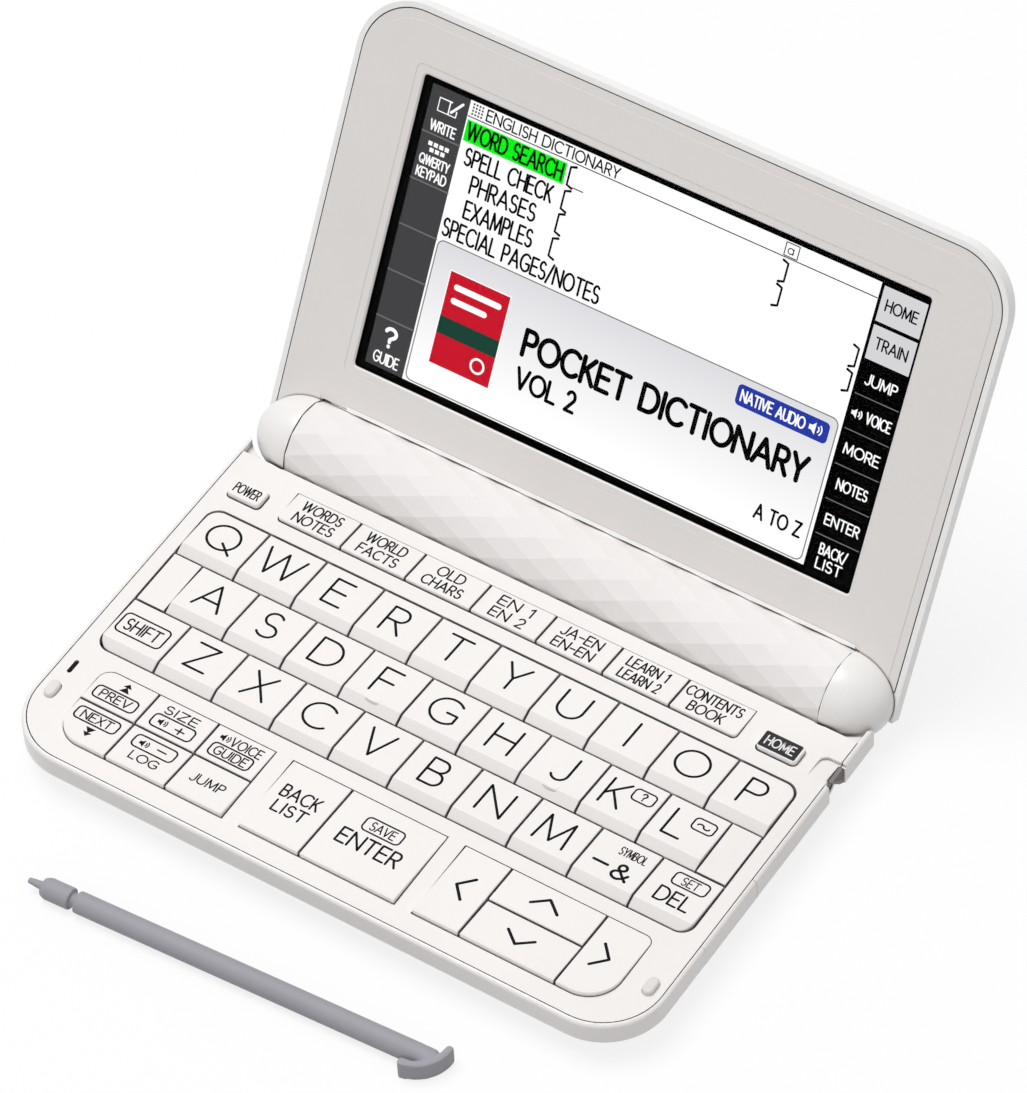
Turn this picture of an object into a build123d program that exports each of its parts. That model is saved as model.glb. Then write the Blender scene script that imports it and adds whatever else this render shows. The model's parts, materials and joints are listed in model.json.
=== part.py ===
"""Pocket electronic dictionary with a keyboard base, a faceted hinge barrel, a screen lid and a stylus.

Millimetres.  +X is the user's right, +Y points away from the user, +Z is up and the table is at z = 0.
X = 0 is the middle of the base.  The lid stands open, and the stylus lies on the table in front.
"""
import os
from math import cos, radians, sin

from build123d import *

os.makedirs("parts", exist_ok=True)

# ---------------------------------------------------------------- driving sizes
# base
base_width = 148.0
base_corner = 14.0
base_height = 9.6
foot_height = 0.5
floor_thickness = 1.15
side_wall = 2.6
rim_width = 1.05
rim_round = 0.9
chine_height = 4.6
underside_inset = 7.0
cover_thickness = 1.6
seam = 0.05
rim_slit = 0.12
part_gap = 0.1
# hinge
barrel_radius = 9.0
barrel_bore = 7.6
barrel_gap = 0.35
facet_columns = 12
facet_rows = 12
first_ridge = 36.0
dome_length = 11.0
dome_proud = 0.5
dome_seam = 0.2
dome_gap = 0.5
dome_end_gap = 1.4
shaft_radius = 2.0
shaft_fit = 0.05
clutch_radius = 3.2
flange_radius = 4.6
flange_thickness = 1.2
bulkhead_thickness = 1.5
# lid
lid_side_overhang = 0.8
lid_front_overhang = 2.5
lid_corner = 13.5
lid_thickness = 4.6
lid_floor = 1.2
lid_rim = 1.2
lid_back_round = 1.8
lid_heel = 2.4
lid_face = 1.7
rim_step = 0.2
open_angle = 119.0
bezel_thickness = 1.2
bezel_foot = 4.0
window_width = 117.1
window_height = 65.1
window_foot = 18.85
window_corner = 0.8
window_chamfer = 0.35
glass_recess = 0.5
glass_lap = 1.2
glass_thickness = 1.1
screen_thickness = 1.6
screen_lap = 1.6
# keys
keys_in_row = 10
block_margin = 4.5
key_gap = 0.5
hinge_to_keys = 24.9
cap_depth = 1.25
key_travel = 0.8
letter_rise = 0.85
facet_depth = 2.2
facet_drop = 0.35
cluster_rise = 1.1
split_rise = 0.5
split_start = 0.2
top_rise = 0.8
small_rise = 1.1
block_corner = 3.2
blank_sink = 1.0
bump_width = 3.4
bump_depth = 0.8
bump_height = 0.04
bump_inset = 0.6
back_gap = 0.1
block_gap = 0.3
# lower key clusters
cluster_gap = 3.7
cluster_spacing = 3.8
cluster_depth = 19.3
cluster_split = 9.0
front_margin = 5.4
function_margin = 9.8
function_columns = (13.2, 14.3, 13.7)
function_corner = 6.5
function_back_corner = 3.0
back_width = 14.2
cursor_margin = 9.2
cursor_width = 43.6
cursor_side_width = 10.9
cursor_corner = 7.5
cursor_back_corner = 2.0
# top key row
top_row_front = 3.65
top_key_count = 7
top_key_depth = 8.35
small_key_depth = 4.95
power_width = 8.3
power_spacing = 4.2
home_width = 9.6
home_margin = 8.15
home_spacing = 4.05
top_corner = 1.2
# stylus and its silo
stylus_radius = 2.3
stylus_length = 94.3
nib_length = 3.4
nib_radius = 0.6
nib_flare = 0.96
collar_face_radius = 1.84
collar_length = 6.6
collar_taper = 1.2
groove_width = 1.3
groove_depth = 0.9
head_radius = 8.2
head_offset = 3.1
head_thickness = 1.7
head_edge = 0.7
stylus_angle = 3.1
stylus_reach = 118.9
stylus_tip_x = -50.5
silo_fit = 0.1
silo_wall = 0.35
silo_length = 92.6
silo_sink = 1.4
silo_flange = 1.3
silo_from_keys = 6.6
silo_housing = 0.8
silo_housing_length = 10.0
notch_width = 4.8
notch_lead = 1.1
notch_round = 3.2
scoop_length = 5.2
scoop_width = 6.0
scoop_depth = 0.8
scoop_corner = 1.8
# inside the base
board_thickness = 1.0
board_margin = 2.0
board_back_gap = 1.0
chip_height = 1.0
processor_size = 14.0
processor_x = 8.0
memory_width = 10.0
memory_length = 18.0
memory_x = 32.0
sound_chip_size = 7.0
sound_chip_x = -22.0
chip_row = 24.0
sound_chip_row = 50.0
socket_length = 15.0
socket_height = 2.6
socket_wall = 1.5
sheet_thickness = 0.5
nub_radius = 2.0
nub_height = 0.15
cell_radius = 7.1
cell_length = 49.2
cell_nub_radius = 2.75
cell_nub_length = 1.3
cell_gap = 0.2
contact_width = 10.0
contact_corner = 1.5
contact_thickness = 0.4
contact_cone_radius = 4.0
contact_tip_radius = 2.2
speaker_radius = 7.0
speaker_height = 3.4
speaker_bevel = 0.8
speaker_from_side = 24.0
speaker_from_front = 19.0
sound_slot_count = 4
sound_slot_pitch = 2.0
sound_slot_length = 10.0
sound_slot_width = 0.9
screw_radius = 1.0
screw_head_radius = 1.9
screw_head_height = 1.1
screw_from_side = 6.0
screw_from_front = 18.1
post_radius = 3.0
boss_radius = 1.7
# battery cover
battery_cover_width = 104.0
battery_cover_reach = 12.0
cover_slit = 0.15
barrel_split = 0.63
grip_count = 4
grip_pitch = 1.6
grip_length = 16.0
grip_width = 0.8
grip_depth = 0.35
# small outside pieces
foot_radius = 4.0
foot_sink = 0.5
foot_from_side = 14.0
foot_from_front = 13.5
rear_foot_inset = 6.0
bumper_width = 2.4
bumper_length = 4.2
bumper_height = 1.0
bumper_sink = 0.4
bumper_round = 0.5
bumper_from_side = 4.0
bumper_from_front = 14.6
mic_width = 1.0
mic_length = 3.6
mic_from_front = 21.5
card_from_front = 27.7
card_cover_length = 18.7
card_cover_thickness = 0.95
card_slot_width = 11.4
card_slot_height = 1.0

# ---------------------------------------------------------------- places worked out from the sizes
key_pitch = (base_width - 2 * block_margin) / keys_in_row
half_gap = key_gap / 2
block_left = -keys_in_row * key_pitch / 2
block_width = keys_in_row * key_pitch + 2 * block_gap
cluster_back = 3 * key_pitch + cluster_gap
hinge_to_front = hinge_to_keys + cluster_back + cluster_depth + front_margin
lid_width = base_width + 2 * lid_side_overhang
lid_reach = hinge_to_front + lid_front_overhang
rest_slope = 180.0 - open_angle
lid_depth = lid_face + lid_thickness
lid_back_y = lid_reach * cos(radians(rest_slope)) + lid_depth * sin(radians(rest_slope))
# the origin lies midway between the front of the stylus and the back of the open lid
hinge_y = (stylus_reach - lid_back_y + lid_back_round * (1 - sin(radians(rest_slope / 2)))) / 2
hinge_z = foot_height + barrel_radius
front_y = hinge_y - hinge_to_front
keys_y = hinge_y - hinge_to_keys
cover_back = barrel_radius + barrel_gap
case_z = foot_height
floor_z = case_z + floor_thickness
chine_z = case_z + chine_height
key_z = case_z + base_height
cover_z = key_z - cover_thickness
cap_z = key_z - cap_depth
sheet_z = cap_z - key_travel - nub_height - sheet_thickness - part_gap
board_z = sheet_z - part_gap / 2 - board_thickness
post_z = board_z - part_gap

cluster_y = keys_y - cluster_back
function_left = function_margin - base_width / 2
function_width = sum(function_columns)
function_corners = (function_back_corner, 0, function_corner, 0)
cursor_left = base_width / 2 - cursor_margin - cursor_width
cursor_corners = (0, cursor_back_corner, 0, cursor_corner)
back_left = function_left + function_width + cluster_spacing
enter_width = cursor_left - cluster_spacing - back_left - back_width
power_left = block_left
top_row_left = power_left + power_width + power_spacing
home_left = base_width / 2 - home_margin - home_width
top_key_pitch = (home_left - home_spacing - top_row_left) / top_key_count
square = (0, 0, 0, 0)
top_corners = (0, 0, top_corner, top_corner)
small_corners = (top_corner, top_corner, top_corner, top_corner)
top_row_width = top_key_count * top_key_pitch
top_row_y = keys_y + top_row_front + top_key_depth
small_key_y = keys_y + top_row_front + small_key_depth

split_z = hinge_z - barrel_split
dome_x = base_width / 2 + dome_proud - dome_length
barrel_half = dome_x - dome_seam
glass_z = -lid_face - glass_recess
screen_z = glass_z - glass_thickness - part_gap
window_y = window_foot + window_height / 2
silo_mouth_x = base_width / 2 - silo_sink
silo_end_x = silo_mouth_x - silo_flange
silo_y = keys_y + silo_from_keys
silo_radius = stylus_radius + silo_fit
silo_outer = silo_radius + silo_wall
silo_z = floor_z + silo_outer + part_gap / 2
scoop_left = base_width / 2 - scoop_length
stylus_tip_y = hinge_y - stylus_reach + stylus_radius - nib_length * sin(radians(stylus_angle))
cell_reach = cell_length + cell_nub_length + cell_gap / 2
battery_opening = battery_cover_width + 2 * cover_slit
partition_x = battery_opening / 2 + part_gap
shaft_start = partition_x + bulkhead_thickness + part_gap
speaker_x = speaker_from_side - base_width / 2
speaker_y = front_y + speaker_from_front
card_y = front_y + card_from_front + card_cover_length / 2
card_z = chine_z + (cover_z - chine_z) / 4
bumper_x = base_width / 2 - bumper_from_side
bumper_y = front_y + bumper_from_front

front_foot_x = base_width / 2 - foot_from_side
rear_foot_x = battery_opening / 2 + foot_radius + rear_foot_inset / 4
foot_places = [
    (side * x, y)
    for x, y in ((front_foot_x, front_y + foot_from_front), (rear_foot_x, hinge_y - rear_foot_inset))
    for side in (-1, 1)
]
front_screw_x = base_width / 2 - screw_from_side
rear_screw_x = battery_opening / 2 + post_radius + 2 * part_gap
rear_screw_y = hinge_y - cover_back - boss_radius - part_gap
screw_places = [
    (side * x, y)
    for x, y in ((front_screw_x, front_y + screw_from_front), (rear_screw_x, rear_screw_y))
    for side in (-1, 1)
]

lid_plane = Plane(
    origin=(0, hinge_y, hinge_z),
    x_dir=(1, 0, 0),
    z_dir=(0, -sin(radians(rest_slope)), cos(radians(rest_slope))),
)
axis_plane = Plane(origin=(0, hinge_y, hinge_z), x_dir=(1, 0, 0), z_dir=(0, -1, 0))
hinge_axis = Axis((0, hinge_y, hinge_z), (1, 0, 0))


# ---------------------------------------------------------------- shared outlines
def base_outline(inset, back):
    """Plan of the base shrunk by an inset, rounded in front and cut straight behind at a distance
    in front of the hinge axis."""
    with BuildSketch() as outline:
        with Locations((0, (front_y + inset + hinge_y - back) / 2)):
            Rectangle(base_width - 2 * inset, hinge_to_front - inset - back)
        fillet(outline.vertices().group_by(Axis.Y)[0], base_corner - inset)
    return outline.sketch_local


def dome_recess(margin):
    """Plan of the room that the two domes need, grown by a margin."""
    with BuildSketch() as recess:
        with Locations((-dome_x, hinge_y), (dome_x, hinge_y)):
            Ellipse(dome_length + dome_end_gap + margin, barrel_radius + dome_gap + margin)
        with Locations((0, hinge_y)):
            Rectangle(2 * (barrel_half - margin), 3 * barrel_radius, mode=Mode.SUBTRACT)
    return recess.sketch_local


def rounded_plan(left, width, back, depth, corners):
    """Rectangle with its own radius at (back left, back right, front left, front right)."""
    with BuildSketch() as plan:
        with Locations((left + width / 2, back - depth / 2)):
            Rectangle(width, depth)
        places = [(left, back), (left + width, back), (left, back - depth), (left + width, back - depth)]
        for place, radius in zip(places, corners):
            if radius > 0:
                fillet(plan.vertices().sort_by_distance((*place, 0))[0], radius)
    return plan.sketch_local


def stylus_scoop():
    """Cutter for the nail scoop at the right edge of the base: deep behind, running out in front."""
    width = base_width / 2 - scoop_left + side_wall
    back = silo_y + scoop_width / 2
    with BuildPart() as scoop:
        with BuildSketch(Plane.XY.offset(key_z)):
            add(rounded_plan(scoop_left, width, back, scoop_width, (scoop_corner, 0, 0, 0)))
        extrude(amount=-scoop_depth)
        with BuildSketch(Plane.YZ.offset(scoop_left)):
            with BuildLine():
                Polyline(
                    (back, key_z), (back, key_z - scoop_depth), (back - scoop_width, key_z), close=True
                )
            make_face()
        extrude(amount=width, mode=Mode.INTERSECT)
    return scoop.part


def stylus_mouth(left):
    """Plan of the notch that the stylus head drops into, from its inner end outward."""
    return rounded_plan(left, 2 * side_wall, silo_y + notch_width / 2, notch_width, square)


def side_notch():
    """Cutter for the notch in the side wall, whose front lower corner is rounded."""
    front = silo_y - notch_width / 2 - notch_lead
    with BuildPart() as notch:
        with BuildSketch(Plane.YZ.offset(silo_mouth_x)) as side:
            with BuildLine():
                Polyline(
                    (silo_y + notch_width / 2, key_z),
                    (front, key_z),
                    (front, chine_z),
                    (front - 2 * notch_round, chine_z),
                    (front - 2 * notch_round, case_z),
                    (silo_y + notch_width / 2, case_z),
                    close=True,
                )
            make_face()
            fillet(side.vertices().sort_by_distance((0, front, chine_z))[0], notch_round)
        extrude(amount=2 * side_wall)
    return notch.part


def card_window(margin):
    """Plan of the card slot cover, grown by a margin."""
    left = base_width / 2 - card_cover_thickness - margin
    depth = card_cover_length + 2 * margin
    return rounded_plan(left, 2 * side_wall, card_y + depth / 2, depth, square)


def lid_outline(inset, foot):
    """Plan of the lid shrunk by an inset, from its foot to its free edge, on the lid's own plane."""
    height = lid_reach - inset - foot
    with BuildSketch() as outline:
        with Locations((0, foot + height / 2)):
            Rectangle(lid_width - 2 * inset, height)
        fillet(outline.vertices().group_by(Axis.Y)[-1], lid_corner - inset)
    return outline.sketch_local


def on_lid_level(level):
    """Selector of the flat faces that lie at one level over the lid's plane."""
    plane = lid_plane.offset(level)

    def lies_there(face):
        local = plane.to_local_coords(face.center())
        facing = abs(face.normal_at().dot(plane.z_dir))
        return abs(local.Z) < seam and facing > 1 - seam

    return lies_there


def dome(clearance, bore):
    """Right hinge dome: half an ellipsoid about the hinge axis, with the hole for its shaft."""
    with BuildPart() as cap:
        with BuildSketch(axis_plane):
            with BuildLine():
                centre = (dome_x - clearance, 0)
                arc = EllipticalCenterArc(centre, dome_length + 2 * clearance, barrel_radius + clearance)
                Line(centre, arc @ 0)
                Line(arc @ 1, centre)
            make_face()
        revolve(axis=hinge_axis)
        if bore:
            with BuildSketch(Plane.YZ.offset(dome_x)):
                with Locations((hinge_y, hinge_z)):
                    Circle(bore)
            extrude(amount=dome_length / 2, mode=Mode.SUBTRACT)
    return cap.part


def barrel_cylinder(radius, half):
    """Plain cylinder on the hinge axis, used as a cutter."""
    with BuildPart() as drum:
        with BuildSketch(Plane.YZ.offset(-half)):
            with Locations((hinge_y, hinge_z)):
                Circle(radius)
        extrude(amount=2 * half)
    return drum.part


def key_cap(left, right, back, front, crest, corners):
    """One key cap: crest is its top line from back to front, corners its four plan radii."""
    with BuildPart() as cap:
        with BuildSketch(Plane.YZ.offset(left)):
            with BuildLine():
                Polyline((front, cap_z), (back, cap_z), *crest, close=True)
            make_face()
        extrude(amount=right - left)
        if any(corners):
            with BuildSketch(Plane.XY.offset(cap_z)):
                add(rounded_plan(left, right - left, back, back - front, corners))
            extrude(amount=2 * cap_depth, mode=Mode.INTERSECT)
    return cap.part


def letter_cap(left, right, back, corners):
    """Letter key: flush behind, rising to a crest, then a facet that falls below the cover."""
    front = back - key_pitch + key_gap
    crest = [(back, key_z), (front + facet_depth, key_z + letter_rise), (front, key_z - facet_drop)]
    return key_cap(left, right, back, front, crest, corners)


def wedge_cap(left, width, back, depth, start, rise, corners):
    """Key of the clusters and the top row: a plain wedge with an upright front."""
    rear = back - back_gap
    front = back - depth + half_gap
    crest = [(rear, key_z + start), (front, key_z + rise)]
    return key_cap(left + half_gap, left + width - half_gap, rear, front, crest, corners)


def save(piece, name):
    """Label one finished piece and write its file."""
    piece.label = name
    export_step(piece, f"parts/{name}.step")


# ---------------------------------------------------------------- lower case
with BuildPart() as lower_case:
    # boat-shaped underside, then the upright side
    with BuildSketch(Plane.XY.offset(case_z)):
        add(base_outline(underside_inset, 0))
    with BuildSketch(Plane.XY.offset(chine_z)):
        add(base_outline(0, 0))
    loft()
    with BuildSketch(Plane.XY.offset(chine_z)):
        add(base_outline(0, 0))
    extrude(amount=key_z - chine_z)
    fillet(
        lower_case.faces().sort_by(Axis.Z)[-1].edges().filter_by(lambda e: e.center().Y < hinge_y - 1),
        rim_round,
    )
    # lower back of the barrel
    with BuildSketch(Plane.YZ.offset(-barrel_half)):
        with Locations((hinge_y, hinge_z)):
            Circle(barrel_radius)
        with Locations((hinge_y, split_z + barrel_radius)):
            Rectangle(3 * barrel_radius, 2 * barrel_radius, mode=Mode.SUBTRACT)
    extrude(amount=2 * barrel_half)
    # room for the keyboard cover, the barrel shell and the domes
    with BuildSketch(Plane.XY.offset(cover_z)):
        add(base_outline(rim_width - rim_slit, 0))
    extrude(amount=cover_thickness, mode=Mode.SUBTRACT)
    with BuildSketch(Plane.XY.offset(split_z - cover_slit)):
        with Locations((0, hinge_y)):
            Rectangle(2 * dome_x, 2 * cover_back)
    extrude(amount=2 * barrel_radius, mode=Mode.SUBTRACT)
    with BuildSketch(Plane.XY.offset(case_z)):
        add(dome_recess(0))
    extrude(amount=base_height, mode=Mode.SUBTRACT)
    # housing of the stylus silo under the sloping side
    with BuildSketch(Plane.YZ.offset(silo_end_x)):
        with Locations((silo_y, silo_z)):
            Circle(silo_outer + silo_housing)
    extrude(amount=-silo_housing_length)
    # electronics bay, sloping like the underside and then upright
    with BuildSketch(Plane.XY.offset(floor_z)):
        add(base_outline(underside_inset + floor_thickness, cover_back))
    with BuildSketch(Plane.XY.offset(chine_z)):
        add(base_outline(side_wall, cover_back))
    loft(mode=Mode.SUBTRACT)
    with BuildSketch(Plane.XY.offset(chine_z)):
        add(base_outline(side_wall, cover_back))
    extrude(amount=base_height, mode=Mode.SUBTRACT)
    # walls round the dome recesses
    with BuildSketch(Plane.XY.offset(floor_z)):
        add(dome_recess(side_wall))
        add(dome_recess(0), mode=Mode.SUBTRACT)
        with Locations((0, hinge_y)):
            Rectangle(base_width - 2 * side_wall, 4 * barrel_radius, mode=Mode.INTERSECT)
        with Locations((0, hinge_y - 2 * cover_back)):
            Rectangle(base_width, 4 * cover_back, mode=Mode.INTERSECT)
    extrude(amount=cover_z - floor_z)
    # battery channel, its partitions and the bulkheads that carry the hinge shafts
    add(barrel_cylinder(barrel_bore, barrel_half), mode=Mode.SUBTRACT)
    with BuildSketch(Plane.YZ.offset(partition_x)):
        with Locations((hinge_y, hinge_z)):
            Circle(barrel_bore)
    extrude(amount=bulkhead_thickness)
    with BuildSketch(Plane.YZ.offset(barrel_half - bulkhead_thickness)):
        with Locations((hinge_y, hinge_z)):
            Circle(barrel_bore)
            Circle(shaft_radius + shaft_fit, mode=Mode.SUBTRACT)
    extrude(amount=bulkhead_thickness)
    mirror(about=Plane.YZ)
    # opening for the battery cover
    with BuildSketch(Plane.XY.offset(case_z)):
        with Locations((0, hinge_y + (barrel_radius - barrel_bore) / 2)):
            Rectangle(battery_opening, barrel_radius + barrel_bore)
    extrude(amount=split_z - case_z, mode=Mode.SUBTRACT)
    with BuildSketch(Plane.XY.offset(case_z)):
        with Locations((0, hinge_y - battery_cover_reach / 2)):
            Rectangle(battery_opening, battery_cover_reach + 2 * cover_slit)
    extrude(amount=floor_thickness + cover_slit, mode=Mode.SUBTRACT)
    # screw posts, with their heads sunk in the underside
    with BuildSketch(Plane.XY.offset(floor_z - floor_thickness / 2)):
        with Locations(*screw_places):
            Circle(post_radius)
    extrude(amount=post_z - floor_z + floor_thickness / 2)
    with BuildSketch(Plane.XY.offset(case_z)):
        with Locations(*screw_places):
            Circle(screw_head_radius + part_gap)
    extrude(amount=floor_thickness + screw_head_height, mode=Mode.SUBTRACT)
    with BuildSketch(Plane.XY.offset(case_z)):
        with Locations(*screw_places):
            Circle(screw_radius + part_gap)
    extrude(amount=base_height, mode=Mode.SUBTRACT)
    # seats of the feet
    with BuildSketch(Plane.XY.offset(case_z)):
        with Locations(*foot_places):
            Circle(foot_radius + seam)
    extrude(amount=foot_sink, mode=Mode.SUBTRACT)
    # nail scoop, notch of the stylus head and seats of the silo and its flange
    add(stylus_scoop(), mode=Mode.SUBTRACT)
    add(side_notch(), mode=Mode.SUBTRACT)
    with BuildSketch(Plane.XY.offset(case_z)):
        add(stylus_mouth(silo_end_x))
    extrude(amount=base_height, mode=Mode.SUBTRACT)
    with BuildSketch(Plane.YZ.offset(silo_end_x)):
        with Locations((silo_y, silo_z)):
            Circle(silo_outer + seam)
    extrude(amount=-silo_housing_length, mode=Mode.SUBTRACT)
    # rebate of the card slot cover, and the slot behind it
    with BuildSketch(Plane.XY.offset(chine_z)):
        add(card_window(seam))
    extrude(amount=base_height, mode=Mode.SUBTRACT)
    with BuildSketch(Plane.YZ.offset(base_width / 2)):
        with Locations((card_y, card_z)):
            Rectangle(card_slot_width, card_slot_height)
    extrude(amount=-2 * side_wall, mode=Mode.SUBTRACT)
    # sound slots
    with BuildSketch(Plane.XY.offset(case_z)):
        with Locations((speaker_x, speaker_y)):
            with GridLocations(0, sound_slot_pitch, 1, sound_slot_count):
                SlotOverall(sound_slot_length, sound_slot_width)
    extrude(amount=2 * floor_thickness, mode=Mode.SUBTRACT)

save(lower_case.part, "lower_case")


# ---------------------------------------------------------------- keyboard cover
with BuildPart() as keyboard_cover:
    with BuildSketch(Plane.XY.offset(cover_z)):
        add(base_outline(rim_width, cover_back))
        add(dome_recess(0), mode=Mode.SUBTRACT)
    extrude(amount=cover_thickness)
    # openings of the letter block, the lower clusters and the top row
    with BuildSketch(Plane.XY.offset(cover_z)):
        with Locations((0, keys_y - 1.5 * key_pitch)):
            RectangleRounded(block_width, 3 * key_pitch + 2 * block_gap, block_corner)
            with GridLocations(keys_in_row * key_pitch, 0, 2, 1):
                Rectangle(key_pitch, key_pitch, mode=Mode.SUBTRACT)
        add(rounded_plan(function_left, function_width, cluster_y, cluster_depth, function_corners))
        add(rounded_plan(back_left, back_width + enter_width, cluster_y, cluster_depth, square))
        add(rounded_plan(cursor_left, cursor_width, cluster_y, cluster_depth, cursor_corners))
        add(rounded_plan(power_left, power_width, small_key_y, small_key_depth, small_corners))
        add(rounded_plan(top_row_left, top_row_width, top_row_y, top_key_depth, top_corners))
        add(rounded_plan(home_left, home_width, small_key_y, small_key_depth, small_corners))
    extrude(amount=cover_thickness, mode=Mode.SUBTRACT)
    # the half keys at both ends of the middle row are flat blanks of the cover, with sunk lines round them
    with BuildSketch(Plane.XY.offset(key_z)):
        with Locations((0, keys_y - 1.5 * key_pitch)):
            Rectangle(block_width, key_pitch)
            Rectangle((keys_in_row - 1) * key_pitch, key_pitch, mode=Mode.SUBTRACT)
            with GridLocations((keys_in_row - 0.5) * key_pitch, 0, 2, 1):
                Rectangle(key_pitch / 2 - key_gap, key_pitch - key_gap, mode=Mode.SUBTRACT)
    extrude(amount=-blank_sink, mode=Mode.SUBTRACT)
    # nail scoop and mouth of the stylus silo, the card window and the lid bumpers' seats
    add(stylus_scoop(), mode=Mode.SUBTRACT)
    with BuildSketch(Plane.XY.offset(floor_z)):
        add(stylus_mouth(silo_mouth_x))
    extrude(amount=base_height, mode=Mode.SUBTRACT)
    with BuildSketch(Plane.XY.offset(key_z)):
        with Locations((-bumper_x, bumper_y), (bumper_x, bumper_y)):
            SlotOverall(bumper_length + 2 * seam, bumper_width + 2 * seam, rotation=90)
    extrude(amount=-bumper_sink, mode=Mode.SUBTRACT)
    with BuildSketch(Plane.XY.offset(key_z)):
        with Locations((-bumper_x, front_y + mic_from_front)):
            SlotOverall(mic_length, mic_width, rotation=90)
    extrude(amount=-cover_thickness, mode=Mode.SUBTRACT)
    # screw bosses
    with BuildSketch(Plane.XY.offset(post_z + part_gap)):
        with Locations(*screw_places):
            Circle(boss_radius)
    extrude(amount=cover_z - post_z)
    with BuildSketch(Plane.XY.offset(post_z)):
        with Locations(*screw_places):
            Circle(screw_radius + seam)
    extrude(amount=cover_z - post_z + cover_thickness / 2, mode=Mode.SUBTRACT)

save(keyboard_cover.part, "keyboard_cover")


# ---------------------------------------------------------------- hinge barrel
def ridge_point(station, step):
    """Corner of the facets at a station along the barrel and a step round it."""
    angle = radians(first_ridge + step * 180.0 / facet_rows)
    x = barrel_half * (station / facet_columns - 1)
    return Vector(x, hinge_y + barrel_radius * cos(angle), hinge_z + barrel_radius * sin(angle))


def ridge_ring(station):
    """The regular polygon that closes the barrel at one end."""
    return Face(Wire.make_polygon([ridge_point(station, 2 * step) for step in range(facet_rows)]))


# each rhombus is two triangles that meet in a shallow valley across the barrel
facets = [ridge_ring(0), ridge_ring(2 * facet_columns)]
for station in range(2 * facet_columns):
    for step in range(2 * facet_rows):
        near = station + (station + step) % 2
        far = 2 * station + 1 - near
        corners = [ridge_point(near, step), ridge_point(far, step - 1), ridge_point(far, step + 1)]
        facets.append(Face(Wire.make_polygon(corners)))

with BuildPart() as hinge_barrel:
    add(Solid(Shell(facets)))
    add(barrel_cylinder(barrel_bore + part_gap, 2 * barrel_half), mode=Mode.SUBTRACT)
    with BuildSketch(Plane.XY.offset(split_z)):
        with Locations((0, hinge_y)):
            Rectangle(3 * barrel_half, 3 * barrel_radius)
    extrude(amount=-2 * barrel_radius, mode=Mode.SUBTRACT)

save(hinge_barrel.part, "hinge_barrel")


# ---------------------------------------------------------------- battery cover, cells and contacts
with BuildPart() as battery_cover:
    with BuildSketch(Plane.YZ.offset(-battery_cover_width / 2)):
        with Locations((hinge_y, hinge_z)):
            Circle(barrel_radius)
            Circle(barrel_bore + part_gap, mode=Mode.SUBTRACT)
        with Locations((hinge_y - barrel_radius, hinge_z)):
            Rectangle(2 * barrel_radius, 4 * barrel_radius, mode=Mode.SUBTRACT)
        with Locations((hinge_y, split_z - cover_slit + barrel_radius)):
            Rectangle(3 * barrel_radius, 2 * barrel_radius, mode=Mode.SUBTRACT)
        with Locations((hinge_y - battery_cover_reach / 2, case_z + floor_thickness / 2)):
            Rectangle(battery_cover_reach, floor_thickness)
    extrude(amount=battery_cover_width)
    # thumb grip
    with BuildSketch(Plane.XY.offset(case_z)):
        with Locations((0, hinge_y - battery_cover_reach / 2)):
            with GridLocations(0, grip_pitch, 1, grip_count):
                SlotOverall(grip_length, grip_width)
    extrude(amount=grip_depth, mode=Mode.SUBTRACT)

save(battery_cover.part, "battery_cover")

with BuildPart() as battery_cells:
    for start in (-cell_reach, cell_gap / 2):
        with BuildSketch(Plane.YZ.offset(start)):
            with Locations((hinge_y, hinge_z)):
                Circle(cell_radius)
        extrude(amount=cell_length)
        with BuildSketch(Plane.YZ.offset(start + cell_length)):
            with Locations((hinge_y, hinge_z)):
                Circle(cell_nub_radius)
        extrude(amount=cell_nub_length)

save(battery_cells.part, "battery_cells")

with BuildPart() as battery_contacts:
    for side in (-1, 1):
        with BuildSketch(Plane.YZ.offset(side * (partition_x - part_gap))):
            with Locations((hinge_y, hinge_z)):
                RectangleRounded(contact_width, contact_width, contact_corner)
        extrude(amount=-side * contact_thickness)
        # pressed-out spring cone
        with BuildSketch(Plane.YZ.offset(side * (partition_x - part_gap - contact_thickness))):
            with Locations((hinge_y, hinge_z)):
                Circle(contact_cone_radius)
        with BuildSketch(Plane.YZ.offset(side * (cell_reach + part_gap / 2))):
            with Locations((hinge_y, hinge_z)):
                Circle(contact_tip_radius)
        loft()

save(battery_contacts.part, "battery_contacts")


# ---------------------------------------------------------------- hinge domes and shafts
right_dome = dome(0, shaft_radius)
with BuildPart() as hinge_end_caps:
    add(right_dome)
    mirror(about=Plane.YZ)

save(hinge_end_caps.part, "hinge_end_caps")

with BuildPart() as hinge_shafts:
    inner_x = barrel_half - bulkhead_thickness - part_gap
    with BuildSketch(axis_plane):
        with BuildLine():
            Polyline(
                (shaft_start, 0),
                (shaft_start, clutch_radius),
                (inner_x - flange_thickness, clutch_radius),
                (inner_x - flange_thickness, flange_radius),
                (inner_x, flange_radius),
                (inner_x, shaft_radius),
                (dome_x + dome_length / 2, shaft_radius),
                (dome_x + dome_length / 2, 0),
                close=True,
            )
        make_face()
    revolve(axis=hinge_axis)
    mirror(about=Plane.YZ)

save(hinge_shafts.part, "hinge_shafts")


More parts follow.
